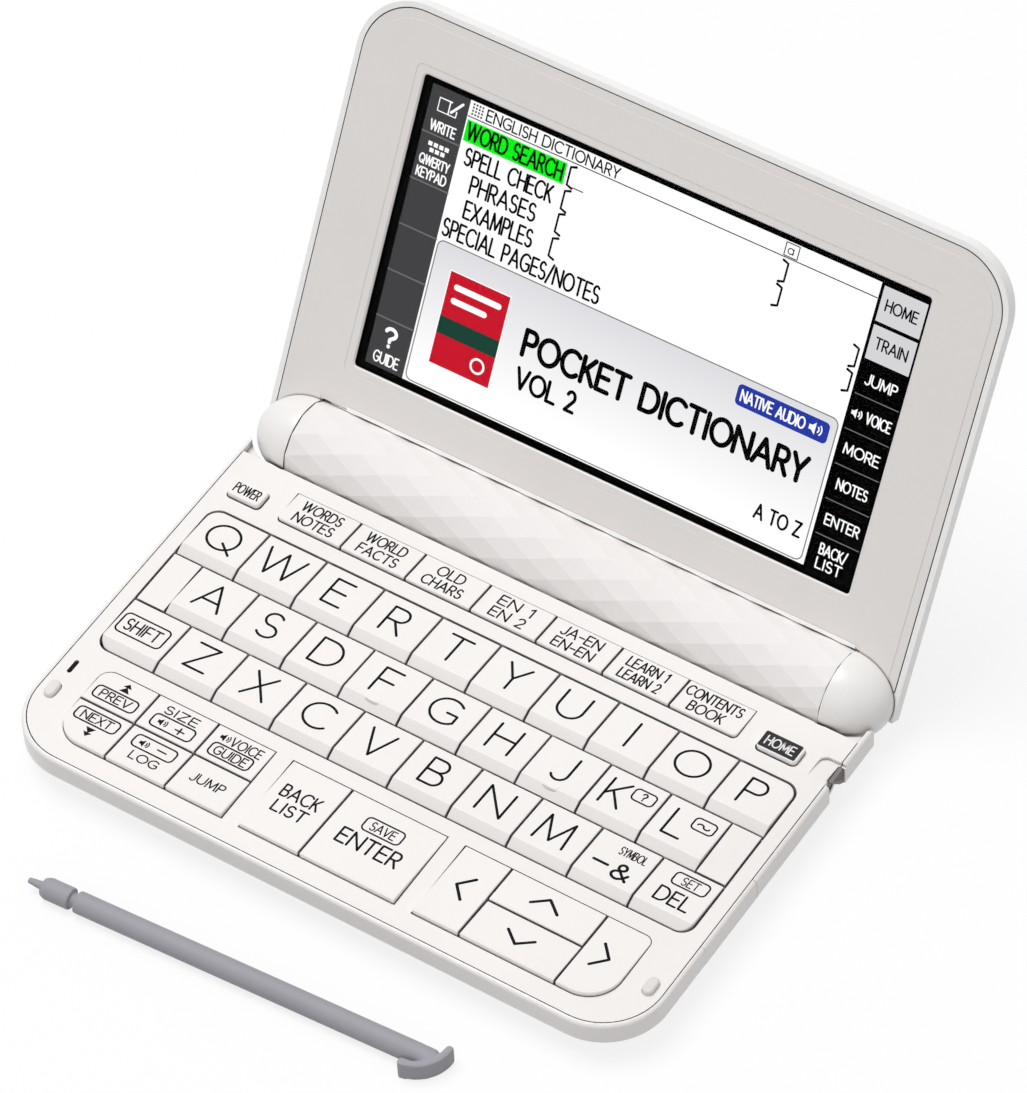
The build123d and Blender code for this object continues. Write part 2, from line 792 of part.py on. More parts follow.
# ---------------------------------------------------------------- lid
with BuildPart() as lid_cover:
    with BuildSketch(lid_plane.offset(-lid_depth)):
        add(lid_outline(0, -lid_heel))
    extrude(amount=lid_thickness - rim_step)
    fillet(lid_cover.faces().filter_by(on_lid_level(-lid_depth)).edges(), lid_back_round)
    # seat of the bezel, then the room behind it
    with BuildSketch(lid_plane.offset(-lid_face - bezel_thickness - part_gap)):
        add(lid_outline(lid_rim, bezel_foot - part_gap))
    extrude(amount=lid_thickness, mode=Mode.SUBTRACT)
    with BuildSketch(lid_plane.offset(-lid_depth + lid_floor)):
        add(lid_outline(2 * lid_rim, barrel_radius + 2 * lid_rim))
    extrude(amount=lid_thickness, mode=Mode.SUBTRACT)
    # room for the barrel and the domes
    add(barrel_cylinder(barrel_radius + barrel_gap, dome_x), mode=Mode.SUBTRACT)
    room = dome(part_gap, 0)
    add(room, mode=Mode.SUBTRACT)
    add(room.mirror(Plane.YZ), mode=Mode.SUBTRACT)

save(lid_cover.part, "lid_cover")

with BuildPart() as display_bezel:
    with BuildSketch(lid_plane.offset(-lid_face - bezel_thickness)):
        add(lid_outline(lid_rim + part_gap, bezel_foot))
    extrude(amount=bezel_thickness)
    # rebate that the glass sits in, and the window
    with BuildSketch(lid_plane.offset(-lid_face - bezel_thickness)):
        with Locations((0, window_y)):
            Rectangle(
                window_width + 2 * (glass_lap + part_gap),
                window_height + 2 * (glass_lap + part_gap),
            )
    extrude(amount=bezel_thickness - glass_recess + seam, mode=Mode.SUBTRACT)
    with BuildSketch(lid_plane.offset(-lid_face)):
        with Locations((0, window_y)):
            RectangleRounded(window_width, window_height, window_corner)
    extrude(amount=-bezel_thickness, mode=Mode.SUBTRACT)
    front_face = display_bezel.faces().filter_by(on_lid_level(-lid_face))[0]
    window_edges = front_face.inner_wires()[0].edges()
    chamfer(window_edges, window_chamfer)
    add(barrel_cylinder(barrel_radius + barrel_gap, dome_x), mode=Mode.SUBTRACT)
    add(room, mode=Mode.SUBTRACT)
    add(room.mirror(Plane.YZ), mode=Mode.SUBTRACT)

save(display_bezel.part, "display_bezel")

with BuildPart() as touch_panel:
    with BuildSketch(lid_plane.offset(glass_z)):
        with Locations((0, window_y)):
            Rectangle(window_width + 2 * glass_lap, window_height + 2 * glass_lap)
    extrude(amount=-glass_thickness)

save(touch_panel.part, "touch_panel")

with BuildPart() as lcd_module:
    with BuildSketch(lid_plane.offset(screen_z)):
        with Locations((0, window_y)):
            Rectangle(window_width + 2 * screen_lap, window_height + 2 * screen_lap)
    extrude(amount=-screen_thickness)

save(lcd_module.part, "lcd_module")


# ---------------------------------------------------------------- circuit board and speaker
with BuildPart() as circuit_board:
    with BuildSketch(Plane.XY.offset(board_z)):
        add(base_outline(side_wall + board_margin, hinge_y - silo_y + silo_outer + board_back_gap))
        with Locations(*screw_places):
            Circle(boss_radius + 2 * part_gap, mode=Mode.SUBTRACT)
    extrude(amount=board_thickness)
    # processor, memory and sound chips, and the card socket
    with BuildSketch(Plane.XY.offset(board_z)):
        with Locations((processor_x, keys_y - chip_row)):
            Rectangle(processor_size, processor_size)
        with Locations((memory_x, keys_y - chip_row)):
            Rectangle(memory_width, memory_length)
        with Locations((sound_chip_x, keys_y - sound_chip_row)):
            Rectangle(sound_chip_size, sound_chip_size)
    extrude(amount=-chip_height)
    with BuildSketch(Plane.XY.offset(board_z)):
        with Locations((base_width / 2 - 2 * side_wall - socket_length / 2, card_y)):
            Rectangle(socket_length, card_slot_width + 2 * socket_wall)
    extrude(amount=-socket_height)
    with BuildSketch(Plane.YZ.offset(base_width / 2)):
        with Locations((card_y, card_z)):
            Rectangle(card_slot_width, card_slot_height)
    extrude(amount=socket_wall - 2 * side_wall - socket_length, mode=Mode.SUBTRACT)

save(circuit_board.part, "circuit_board")

with BuildPart() as speaker:
    with BuildSketch(Plane.XY.offset(floor_z + part_gap)):
        with Locations((speaker_x, speaker_y)):
            Circle(speaker_radius)
    extrude(amount=speaker_height)
    chamfer(speaker.faces().sort_by(Axis.Z)[-1].edges(), speaker_bevel)

save(speaker.part, "speaker")


# ---------------------------------------------------------------- small outside pieces
with BuildPart() as rubber_feet:
    with BuildSketch(Plane.XY.offset(0)):
        with Locations(*foot_places):
            Circle(foot_radius)
    extrude(amount=foot_height + foot_sink)

save(rubber_feet.part, "rubber_feet")

with BuildPart() as case_screws:
    with BuildSketch(Plane.XY.offset(case_z + floor_thickness)):
        with Locations(*screw_places):
            Circle(screw_head_radius)
    extrude(amount=screw_head_height)
    with BuildSketch(Plane.XY.offset(case_z + floor_thickness + screw_head_height)):
        with Locations(*screw_places):
            Circle(screw_radius)
    extrude(amount=cover_z - case_z - floor_thickness - screw_head_height)

save(case_screws.part, "case_screws")

with BuildPart() as lid_bumpers:
    with BuildSketch(Plane.XY.offset(key_z - bumper_sink)):
        with Locations((-bumper_x, bumper_y), (bumper_x, bumper_y)):
            SlotOverall(bumper_length, bumper_width, rotation=90)
    extrude(amount=bumper_sink + bumper_height)
    fillet(lid_bumpers.faces().group_by(Axis.Z)[-1].edges(), bumper_round)

save(lid_bumpers.part, "lid_bumpers")

with BuildPart() as card_slot_cover:
    with BuildSketch(Plane.XY.offset(chine_z + seam)):
        add(base_outline(0, 0))
    extrude(amount=key_z - chine_z - seam)
    fillet(card_slot_cover.faces().sort_by(Axis.Z)[-1].edges().filter_by(Axis.Y), rim_round)
    with BuildSketch(Plane.XY.offset(case_z)):
        add(card_window(0))
    extrude(amount=base_height, mode=Mode.INTERSECT)

save(card_slot_cover.part, "card_slot_cover")

with BuildPart() as stylus_silo:
    with BuildSketch(Plane.YZ.offset(silo_end_x)):
        with Locations((silo_y, silo_z)):
            Circle(silo_outer)
            Circle(silo_radius, mode=Mode.SUBTRACT)
    extrude(amount=silo_flange - silo_length)
    # flange that closes the notch behind the stylus head
    flange_width = notch_width - 2 * seam
    with BuildSketch(Plane.XY.offset(chine_z)):
        add(rounded_plan(silo_end_x, silo_flange, silo_y + flange_width / 2, flange_width, square))
    extrude(amount=cover_z - chine_z)
    with BuildSketch(Plane.YZ.offset(silo_end_x)):
        with Locations((silo_y, silo_z)):
            Circle(silo_radius)
    extrude(amount=silo_flange, mode=Mode.SUBTRACT)
    # closed end
    with BuildSketch(Plane.YZ.offset(silo_mouth_x - silo_length)):
        with Locations((silo_y, silo_z)):
            Circle(silo_outer)
    extrude(amount=-silo_wall)

save(stylus_silo.part, "stylus_silo")


# ---------------------------------------------------------------- stylus
stylus_plane = Plane(
    origin=(stylus_tip_x, stylus_tip_y, stylus_radius),
    x_dir=(cos(radians(stylus_angle)), sin(radians(stylus_angle)), 0),
    z_dir=(0, 0, 1),
)
stylus_axis = Axis(stylus_plane.origin, stylus_plane.x_dir)

with BuildPart() as stylus:
    # nib, collar, groove and shaft
    with BuildSketch(stylus_plane):
        with BuildLine():
            Polyline(
                (0, 0),
                (0, nib_radius),
                (nib_length, nib_flare),
                (nib_length, collar_face_radius),
                (nib_length + collar_taper, stylus_radius),
                (nib_length + collar_length, stylus_radius),
                (nib_length + collar_length, stylus_radius - groove_depth),
                (nib_length + collar_length + groove_width, stylus_radius - groove_depth),
                (nib_length + collar_length + groove_width, stylus_radius),
                (stylus_length - 1.7 * head_thickness, stylus_radius),
                (stylus_length - head_thickness, stylus_radius / 2),
                (stylus_length - head_thickness, 0),
                close=True,
            )
        make_face()
    revolve(axis=stylus_axis)
    # hooked head that follows the side of the base when it is stowed
    with BuildSketch(stylus_plane.offset(-stylus_radius)) as hook:
        with Locations((stylus_length - head_radius, head_offset)):
            Circle(head_radius)
            Circle(head_radius - head_thickness, mode=Mode.SUBTRACT)
        with Locations((stylus_length - 2 * head_radius, head_offset)):
            Rectangle(2 * head_radius, 2 * head_radius, mode=Mode.SUBTRACT)
        with Locations((stylus_length - head_radius, head_offset + head_radius + 0.5)):
            Rectangle(2 * head_radius, 2 * head_radius, mode=Mode.SUBTRACT)
        fillet(hook.vertices(), head_edge)
    extrude(amount=2 * stylus_radius)

save(stylus.part, "stylus")


# ---------------------------------------------------------------- keys
caps = []
letter_rows = ["qwertyuiop", "asdfghjkl", ["shift", *"zxcvbnm", "symbols", "delete"]]
outer_round = block_corner - half_gap
for row, names in enumerate(letter_rows):
    row_left = -len(names) * key_pitch / 2
    for column, name in enumerate(names):
        round_left = outer_round if column == 0 else 0
        round_right = outer_round if column == len(names) - 1 else 0
        corners = {0: (round_left, round_right, 0, 0), 1: (0, 0, 0, 0), 2: (0, 0, round_left, round_right)}
        left = row_left + column * key_pitch
        back = keys_y - row * key_pitch - half_gap
        cap = letter_cap(left + half_gap, left + key_pitch - half_gap, back, corners[row])
        if name in "fj":
            with BuildPart() as bumped:
                add(cap)
                with BuildSketch(Plane.XY.offset(key_z)):
                    bump_y = back - key_pitch + key_gap + facet_depth + bump_inset
                    with Locations((left + key_pitch / 2, bump_y)):
                        SlotOverall(bump_width, bump_depth)
                extrude(amount=letter_rise + bump_height)
            cap = bumped.part
        save(cap, f"key_{name}")
        caps.append(cap)

with BuildPart() as function_keys:
    column_left = function_left
    for column, width in enumerate(function_columns):
        outer = function_corners if column == 0 else (0, 0, 0, 0)
        back_round, front_round = (max(radius - half_gap, 0) for radius in (outer[0], outer[2]))
        add(
            wedge_cap(
                column_left, width, cluster_y, cluster_split, 0, split_rise, (back_round, 0, 0, 0)
            )
        )
        add(
            wedge_cap(
                column_left,
                width,
                cluster_y - cluster_split,
                cluster_depth - cluster_split,
                split_start,
                cluster_rise,
                (0, 0, front_round, 0),
            )
        )
        column_left += width

save(function_keys.part, "function_keys")

key_back = wedge_cap(back_left, back_width, cluster_y, cluster_depth, 0, cluster_rise, square)
save(key_back, "key_back")
key_enter = wedge_cap(
    back_left + back_width, enter_width, cluster_y, cluster_depth, 0, cluster_rise, square
)
save(key_enter, "key_enter")

up_left = cursor_left + cursor_side_width
up_width = cursor_width - 2 * cursor_side_width
key_left = wedge_cap(cursor_left, cursor_side_width, cluster_y, cluster_depth, 0, cluster_rise, square)
save(key_left, "key_left")
key_up = wedge_cap(up_left, up_width, cluster_y, cluster_split, 0, split_rise, square)
save(key_up, "key_up")
key_down = wedge_cap(
    up_left,
    up_width,
    cluster_y - cluster_split,
    cluster_depth - cluster_split,
    split_start,
    cluster_rise,
    square,
)
save(key_down, "key_down")
right_corners = (0, cursor_back_corner - half_gap, 0, cursor_corner - half_gap)
key_right = wedge_cap(
    up_left + up_width, cursor_side_width, cluster_y, cluster_depth, 0, cluster_rise, right_corners
)
save(key_right, "key_right")

small_round = top_corner - half_gap
rounds = (small_round, small_round, small_round, small_round)
key_power = wedge_cap(
    power_left, power_width, small_key_y, small_key_depth, small_rise, small_rise, rounds
)
save(key_power, "key_power")
key_home = wedge_cap(home_left, home_width, small_key_y, small_key_depth, small_rise, small_rise, rounds)
save(key_home, "key_home")

with BuildPart() as dictionary_keys:
    for column in range(top_key_count):
        front_left = small_round if column == 0 else 0
        front_right = small_round if column == top_key_count - 1 else 0
        add(
            wedge_cap(
                top_row_left + column * top_key_pitch,
                top_key_pitch,
                top_row_y,
                top_key_depth,
                0,
                top_rise,
                (0, 0, front_left, front_right),
            )
        )

save(dictionary_keys.part, "dictionary_keys")


# ---------------------------------------------------------------- rubber sheet under the keys
caps += [function_keys.part, key_back, key_enter, key_left, key_up, key_down, key_right]
caps += [key_power, key_home, dictionary_keys.part]
cap_centres = [solid.bounding_box().center() for cap in caps for solid in cap.solids()]

with BuildPart() as key_rubber_sheet:
    with BuildSketch(Plane.XY.offset(sheet_z)):
        add(base_outline(side_wall + board_margin, hinge_y - top_row_y))
        with Locations(*screw_places):
            Circle(boss_radius + 2 * part_gap, mode=Mode.SUBTRACT)
    extrude(amount=sheet_thickness)
    with BuildSketch(Plane.XY.offset(sheet_z + sheet_thickness)):
        with Locations(*[(centre.X, centre.Y) for centre in cap_centres]):
            Circle(nub_radius)
    extrude(amount=nub_height)

save(key_rubber_sheet.part, "key_rubber_sheet")
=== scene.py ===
"""Looks of a pocket electronic dictionary: a white moulded clamshell with printed keys, a faceted
hinge barrel, a lit touch screen and a grey stylus.  Places are in the part's own frame; outlines and
marks are written in millimetres and turned into metres with mm."""
import json
from math import cos, radians, sin

import bmesh
import bpy
from mathutils import Matrix, Vector
from mathutils.bvhtree import BVHTree

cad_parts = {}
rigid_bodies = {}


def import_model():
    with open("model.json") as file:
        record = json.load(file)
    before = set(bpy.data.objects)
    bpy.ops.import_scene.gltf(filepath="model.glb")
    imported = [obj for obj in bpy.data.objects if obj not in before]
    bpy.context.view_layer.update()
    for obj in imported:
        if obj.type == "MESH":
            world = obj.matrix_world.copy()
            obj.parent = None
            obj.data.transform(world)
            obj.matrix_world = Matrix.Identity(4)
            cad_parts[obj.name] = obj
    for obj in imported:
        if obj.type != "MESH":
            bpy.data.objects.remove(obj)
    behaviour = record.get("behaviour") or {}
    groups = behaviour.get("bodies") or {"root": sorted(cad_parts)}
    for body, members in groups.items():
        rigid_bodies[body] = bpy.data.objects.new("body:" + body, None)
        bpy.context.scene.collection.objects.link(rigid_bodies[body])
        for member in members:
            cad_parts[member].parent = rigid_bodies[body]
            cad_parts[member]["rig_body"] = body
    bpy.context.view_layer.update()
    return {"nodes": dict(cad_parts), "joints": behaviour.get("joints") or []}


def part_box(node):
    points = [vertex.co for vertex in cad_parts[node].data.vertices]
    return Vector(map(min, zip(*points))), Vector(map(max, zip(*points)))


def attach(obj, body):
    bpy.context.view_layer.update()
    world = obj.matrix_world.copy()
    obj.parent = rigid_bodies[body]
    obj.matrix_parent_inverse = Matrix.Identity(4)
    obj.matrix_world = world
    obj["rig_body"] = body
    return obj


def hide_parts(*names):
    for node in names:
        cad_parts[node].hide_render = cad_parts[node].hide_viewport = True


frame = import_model()
nodes = frame["nodes"]
mm = 0.001


# ---------------------------------------------------------------- camera
# A long lens looks down at the open dictionary from its right front corner.  It is held a little
# askew, and its place is measured from the lid's hinge.
camera_azimuth = radians(35.85)
camera_height_angle = radians(50.0)
camera_lean = radians(3.66)
lid_hinge = next(joint for joint in frame["joints"] if joint["name"] == "lid_hinge")
hinge_axis = Vector(lid_hinge["pos_m"])
camera_place = hinge_axis + Vector((0.49485, -0.70370, 1.0318))
picture_size = (1027, 1093)
focal_pixels = 6711.9
sensor_length = 36.0


def put(name, data):
    """Object of a mesh, curve, lamp or camera, in the scene."""
    thing = bpy.data.objects.new(name, data)
    bpy.context.scene.collection.objects.link(thing)
    return thing


forward = Vector(
    (
        -sin(camera_azimuth) * cos(camera_height_angle),
        cos(camera_azimuth) * cos(camera_height_angle),
        -sin(camera_height_angle),
    )
)
level_right = forward.cross(Vector((0, 0, 1))).normalized()
level_up = level_right.cross(forward)
camera_up = level_up * cos(camera_lean) + level_right * sin(camera_lean)
camera_right = forward.cross(camera_up)
camera_data = bpy.data.cameras.new("camera")
camera_data.sensor_fit = "VERTICAL"
camera_data.sensor_height = sensor_length
camera_data.lens = focal_pixels * sensor_length / picture_size[1]
camera_data.clip_start = 0.05
camera_data.clip_end = 20.0
camera = put("camera", camera_data)
turn = Matrix((camera_right, camera_up, -forward)).transposed().to_4x4()
camera.matrix_world = Matrix.Translation(camera_place) @ turn
bpy.context.scene.camera = camera
bpy.context.scene.view_settings.view_transform = "Standard"


# ---------------------------------------------------------------- table and light
# A plain white table in a bright tent: one large soft lamp high above on the left, a weak one in front
# on the right, and even light from all round.
def srgb(red, green, blue):
    """Linear colour from the 0 to 255 values that a colour chart gives."""
    def straight(value):
        value /= 255
        return value / 12.92 if value <= 0.04045 else ((value + 0.055) / 1.055) ** 2.4

    return (straight(red), straight(green), straight(blue), 1.0)


def maths(tree, operation, second=0.5):
    """Math node, with the value of its second socket where nothing is linked to it."""
    node = tree.nodes.new("ShaderNodeMath")
    node.operation = operation
    node.inputs[1].default_value = second
    return node


def paper_seen(tree, path):
    """1 for a ray that comes straight, by a reflection or through glass from the camera."""
    found = path.outputs["Is Camera Ray"]
    for label in ("Is Glossy Ray", "Is Transmission Ray"):
        either = maths(tree, "MAXIMUM")
        tree.links.new(found, either.inputs[0])
        tree.links.new(path.outputs[label], either.inputs[1])
        found = either.outputs[0]
    return found


world_light = 0.46
world = bpy.data.worlds.new("tent")
world.use_nodes = True
tree = world.node_tree
for node in list(tree.nodes):
    tree.nodes.remove(node)
seen = tree.nodes.new("ShaderNodeLightPath")
paper = tree.nodes.new("ShaderNodeBackground")
paper.inputs["Color"].default_value = (1, 1, 1, 1)
paper.inputs["Strength"].default_value = 1.0
glow = tree.nodes.new("ShaderNodeBackground")
glow.inputs["Color"].default_value = (1.0, 0.995, 0.99, 1)
glow.inputs["Strength"].default_value = world_light
choose = tree.nodes.new("ShaderNodeMixShader")
world_out = tree.nodes.new("ShaderNodeOutputWorld")
tree.links.new(paper_seen(tree, seen), choose.inputs["Fac"])
tree.links.new(glow.outputs["Background"], choose.inputs[1])
tree.links.new(paper.outputs["Background"], choose.inputs[2])
tree.links.new(choose.outputs["Shader"], world_out.inputs["Surface"])
bpy.context.scene.world = world


def lamp(name, place, aim, size, watts):
    """Square soft lamp that looks at a point."""
    data = bpy.data.lights.new(name, "AREA")
    data.shape = "SQUARE"
    data.size = size
    data.energy = watts
    look = (Vector(aim) - Vector(place)).to_track_quat("-Z", "Y")
    put(name, data).matrix_world = Matrix.Translation(place) @ look.to_matrix().to_4x4()


lit_point = (0, 0, 0.02)
lamp("main_lamp", (-0.8, 0.15, 2.65), lit_point, 1.6, 43.0)
lamp("front_lamp", (0.8, -2.2, 1.6), lit_point, 1.4, 5.0)

table_half = 3.0
table_mesh = bpy.data.meshes.new("table_top")
table_mesh.from_pydata(
    [(x, y, 0) for x, y in ((-1, -1), (1, -1), (1, 1), (-1, 1))], [], [(0, 1, 2, 3)]
)
table_mesh.transform(Matrix.Scale(table_half, 4))
table_top = put("table_top", table_mesh)
table_paint = bpy.data.materials.new("white_table")
table_paint.use_nodes = True
tree = table_paint.node_tree
matt = tree.nodes["Principled BSDF"]
matt.inputs["Roughness"].default_value = 0.9
matt.inputs["Specular IOR Level"].default_value = 0.1
seen = tree.nodes.new("ShaderNodeLightPath")
looked_at = paper_seen(tree, seen)
top_tone = tree.nodes.new("ShaderNodeMix")
top_tone.data_type = "RGBA"
top_tone.inputs["A"].default_value = srgb(200, 200, 200)
top_tone.inputs["B"].default_value = (1, 1, 1, 1)
tree.links.new(looked_at, top_tone.inputs["Factor"])
tree.links.new(top_tone.outputs["Result"], matt.inputs["Base Color"])
share = maths(tree, "MULTIPLY", 0.8)
shine = tree.nodes.new("ShaderNodeEmission")
shine.inputs["Strength"].default_value = 1.0
mix = tree.nodes.new("ShaderNodeMixShader")
tree.links.new(looked_at, share.inputs[0])
tree.links.new(share.outputs[0], mix.inputs["Fac"])
tree.links.new(matt.outputs["BSDF"], mix.inputs[1])
tree.links.new(shine.outputs["Emission"], mix.inputs[2])
tree.links.new(mix.outputs["Shader"], tree.nodes["Material Output"].inputs["Surface"])
table_mesh.materials.append(table_paint)


# ---------------------------------------------------------------- case mouldings
# The lower case and the battery and card covers are glossy warm white plastic from polished moulds.
# Their corners are slightly broken, and the polish carries a faint flow unevenness.
def effect_group(name, inputs, outputs):
    """Empty node group for an effect that several materials share."""
    group = bpy.data.node_groups.new(name, "ShaderNodeTree")
    for label, value in inputs:
        socket = group.interface.new_socket(label, in_out="INPUT", socket_type="NodeSocketFloat")
        socket.default_value = value
    for label, kind in outputs:
        group.interface.new_socket(label, in_out="OUTPUT", socket_type=kind)
    return group, group.nodes.new("NodeGroupInput"), group.nodes.new("NodeGroupOutput")


mould_finish, finish_in, finish_out = effect_group(
    "mould_finish",
    (("Grain size", 0.3), ("Flow", 0.5), ("Handling", 0.5)),
    (("Grain", "NodeSocketFloat"), ("Tone", "NodeSocketFloat"), ("Dullness", "NodeSocketFloat")),
)
tree = mould_finish
place = tree.nodes.new("ShaderNodeTexCoord")
per_metre = maths(tree, "DIVIDE")
per_metre.inputs[0].default_value = 1000.0
tree.links.new(finish_in.outputs["Grain size"], per_metre.inputs[1])
grain = tree.nodes.new("ShaderNodeTexNoise")
grain.inputs["Detail"].default_value = 3.0
grain.inputs["Roughness"].default_value = 0.6
tree.links.new(place.outputs["Object"], grain.inputs["Vector"])
tree.links.new(per_metre.outputs[0], grain.inputs["Scale"])
tree.links.new(grain.outputs["Fac"], finish_out.inputs["Grain"])
flow = tree.nodes.new("ShaderNodeTexNoise")
flow.inputs["Scale"].default_value = 22.0
flow.inputs["Detail"].default_value = 2.0
tree.links.new(place.outputs["Object"], flow.inputs["Vector"])
centred = maths(tree, "SUBTRACT", 0.5)
tree.links.new(flow.outputs["Fac"], centred.inputs[0])
toned = maths(tree, "MULTIPLY")
tree.links.new(centred.outputs[0], toned.inputs[0])
tree.links.new(finish_in.outputs["Flow"], toned.inputs[1])
tree.links.new(toned.outputs[0], finish_out.inputs["Tone"])
smears = tree.nodes.new("ShaderNodeTexNoise")
smears.inputs["Scale"].default_value = 160.0
smears.inputs["Detail"].default_value = 4.0
smears.inputs["Distortion"].default_value = 0.6
tree.links.new(place.outputs["Object"], smears.inputs["Vector"])
dulled = maths(tree, "MULTIPLY")
tree.links.new(smears.outputs["Fac"], dulled.inputs[0])
tree.links.new(finish_in.outputs["Handling"], dulled.inputs[1])
tree.links.new(dulled.outputs[0], finish_out.inputs["Dullness"])


def moulded(
    name, colour, dark_colour, roughness, coat, grain_size, grain_depth, handling=0.1, shine=0.5
):
    """Moulded plastic or rubber: its tone drifts a little, its gloss is uneven, and it carries a grain."""
    material = bpy.data.materials.new(name)
    material.use_nodes = True
    nodes_of = material.node_tree.nodes
    links = material.node_tree.links
    shader = nodes_of["Principled BSDF"]
    finish = nodes_of.new("ShaderNodeGroup")
    finish.node_tree = mould_finish
    finish.inputs["Grain size"].default_value = grain_size
    finish.inputs["Flow"].default_value = 2.0
    finish.inputs["Handling"].default_value = handling
    tone = nodes_of.new("ShaderNodeMix")
    tone.data_type = "RGBA"
    tone.inputs["A"].default_value = colour
    tone.inputs["B"].default_value = dark_colour
    links.new(finish.outputs["Tone"], tone.inputs["Factor"])
    links.new(tone.outputs["Result"], shader.inputs["Base Color"])
    gloss = maths(material.node_tree, "ADD", roughness - handling / 2)
    links.new(finish.outputs["Dullness"], gloss.inputs[0])
    links.new(gloss.outputs[0], shader.inputs["Roughness"])
    bump = nodes_of.new("ShaderNodeBump")
    bump.inputs["Strength"].default_value = 1.0
    bump.inputs["Distance"].default_value = grain_depth
    links.new(finish.outputs["Grain"], bump.inputs["Height"])
    links.new(bump.outputs["Normal"], shader.inputs["Normal"])
    shader.inputs["Coat Weight"].default_value = coat
    shader.inputs["Coat Roughness"].default_value = 0.08
    shader.inputs["IOR"].default_value = 1.5
    shader.inputs["Specular IOR Level"].default_value = shine
    return material


# Painted shade: a dark grey laid into the colour where nearby surfaces hide a point, in gaps, seams and
# crevices.
gap_shade, shade_in, shade_out = effect_group(
    "gap_shade", (("Reach", 0.9 * mm),), (("Depth", "NodeSocketFloat"),)
)
hidden = gap_shade.nodes.new("ShaderNodeAmbientOcclusion")
hidden.samples = 8
gap_shade.links.new(shade_in.outputs["Reach"], hidden.inputs["Distance"])
amount = gap_shade.nodes.new("ShaderNodeMapRange")
amount.inputs["From Min"].default_value = 0.72
amount.inputs["From Max"].default_value = 0.28
gap_shade.links.new(hidden.outputs["AO"], amount.inputs["Value"])
gap_shade.links.new(amount.outputs["Result"], shade_out.inputs["Depth"])
gap_shade_grey = srgb(78, 74, 73)


def shaded_gaps(material, reach=0.9 * mm):
    """Paints shade on the walls of narrow gaps: the more of its surroundings hide a point within the
    reach, the nearer its colour comes to a dark grey.
    """
    nodes_of = material.node_tree.nodes
    links = material.node_tree.links
    shader = nodes_of["Principled BSDF"]
    open_colour = shader.inputs["Base Color"].links[0].from_socket
    depth = nodes_of.new("ShaderNodeGroup")
    depth.node_tree = gap_shade
    depth.inputs["Reach"].default_value = reach
    deep = nodes_of.new("ShaderNodeMix")
    deep.data_type = "RGBA"
    deep.inputs["B"].default_value = gap_shade_grey
    links.new(depth.outputs["Depth"], deep.inputs["Factor"])
    links.new(open_colour, deep.inputs["A"])
    links.new(deep.outputs["Result"], shader.inputs["Base Color"])


def dressed(
    node, material, edge=0.12 * mm, steps=2, crease=28, bevel_from=30, play=0, sink=0, lie=Matrix()
):
    """Copy of a CAD piece with its corners slightly rounded, which then stands for that piece.  With
    some play it is that much smaller on each side than its pocket, and it can lie a trace deeper."""
    mesh = nodes[node].data.copy()
    shaped = bmesh.new()
    shaped.from_mesh(mesh)
    bmesh.ops.remove_doubles(shaped, verts=shaped.verts, dist=0.0005 * mm)
    if play:
        shaped.transform(lie.inverted())
        for axis in (0, 1):
            reach = [v.co[axis] for v in shaped.verts]
            middle, half = (max(reach) + min(reach)) / 2, (max(reach) - min(reach)) / 2
            for v in shaped.verts:
                v.co[axis] -= play * (v.co[axis] - middle) / half
        shaped.transform(lie @ Matrix.Translation((0, 0, -sink)))
    bmesh.ops.dissolve_limit(
        shaped, angle_limit=radians(0.05), verts=shaped.verts, edges=shaped.edges
    )
    for face in shaped.faces:
        face.smooth = True
    for seam in shaped.edges:
        seam.smooth = seam.calc_face_angle(0) < radians(crease)
    shaped.to_mesh(mesh)
    shaped.free()
    mesh.materials.clear()
    mesh.materials.append(material)
    piece = put(f"{node}_finish", mesh)
    if edge:
        bevel = piece.modifiers.new("broken_corners", "BEVEL")
        bevel.width = edge
        bevel.segments = steps
        bevel.limit_method = "ANGLE"
        bevel.angle_limit = radians(bevel_from)
        bevel.miter_outer = "MITER_ARC"
        bevel.use_clamp_overlap = True
    even = piece.modifiers.new("even_shading", "WEIGHTED_NORMAL")
    even.keep_sharp = True
    even.weight = 60
    plain(piece)
    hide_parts(node)
    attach(piece, nodes[node]["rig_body"])
    return piece


def plain(piece):
    """Turns a piece with live modifiers into a plain mesh."""
    bpy.context.view_layer.update()
    evaluated = piece.evaluated_get(bpy.context.evaluated_depsgraph_get())
    mesh = bpy.data.meshes.new_from_object(evaluated)
    piece.modifiers.clear()
    piece.data = mesh


white_case = moulded(
    "white_case", srgb(244, 241, 239), srgb(238, 234, 232), 0.34, 0.2, 0.5, 0.002 * mm, handling=0.03
)
shaded_gaps(white_case, reach=1.8 * mm)
for node in ("lower_case", "battery_cover", "card_slot_cover"):
    dressed(node, white_case, edge=0.1 * mm)


# ---------------------------------------------------------------- keyboard deck
# A separate satin white moulding with openings for the caps.  It drops into the rim of the lower case
# with a little play all round, which shows as a fine seam.
deck_white = moulded(
    "deck_white", srgb(244, 241, 239), srgb(236, 232, 230), 0.42, 0.05, 0.35, 0.006 * mm
)
shaded_gaps(deck_white)
dressed("keyboard_cover", deck_white, edge=0.1 * mm, play=0.08 * mm)


# ---------------------------------------------------------------- feet, bumpers and screws
# Soft grey rubber feet, pale rubber buffers that the lid lands on, and blackened steel screws that
# hold the two halves of the case together from below.
foot_rubber = moulded("foot_rubber", srgb(96, 95, 96), srgb(70, 70, 71), 0.7, 0.0, 0.25, 0.02 * mm)
dressed("rubber_feet", foot_rubber, edge=0.2 * mm)
buffer_rubber = moulded(
    "buffer_rubber", srgb(230, 227, 225), srgb(214, 211, 208), 0.5, 0.0, 0.2, 0.008 * mm
)
dressed("lid_bumpers", buffer_rubber, edge=0)


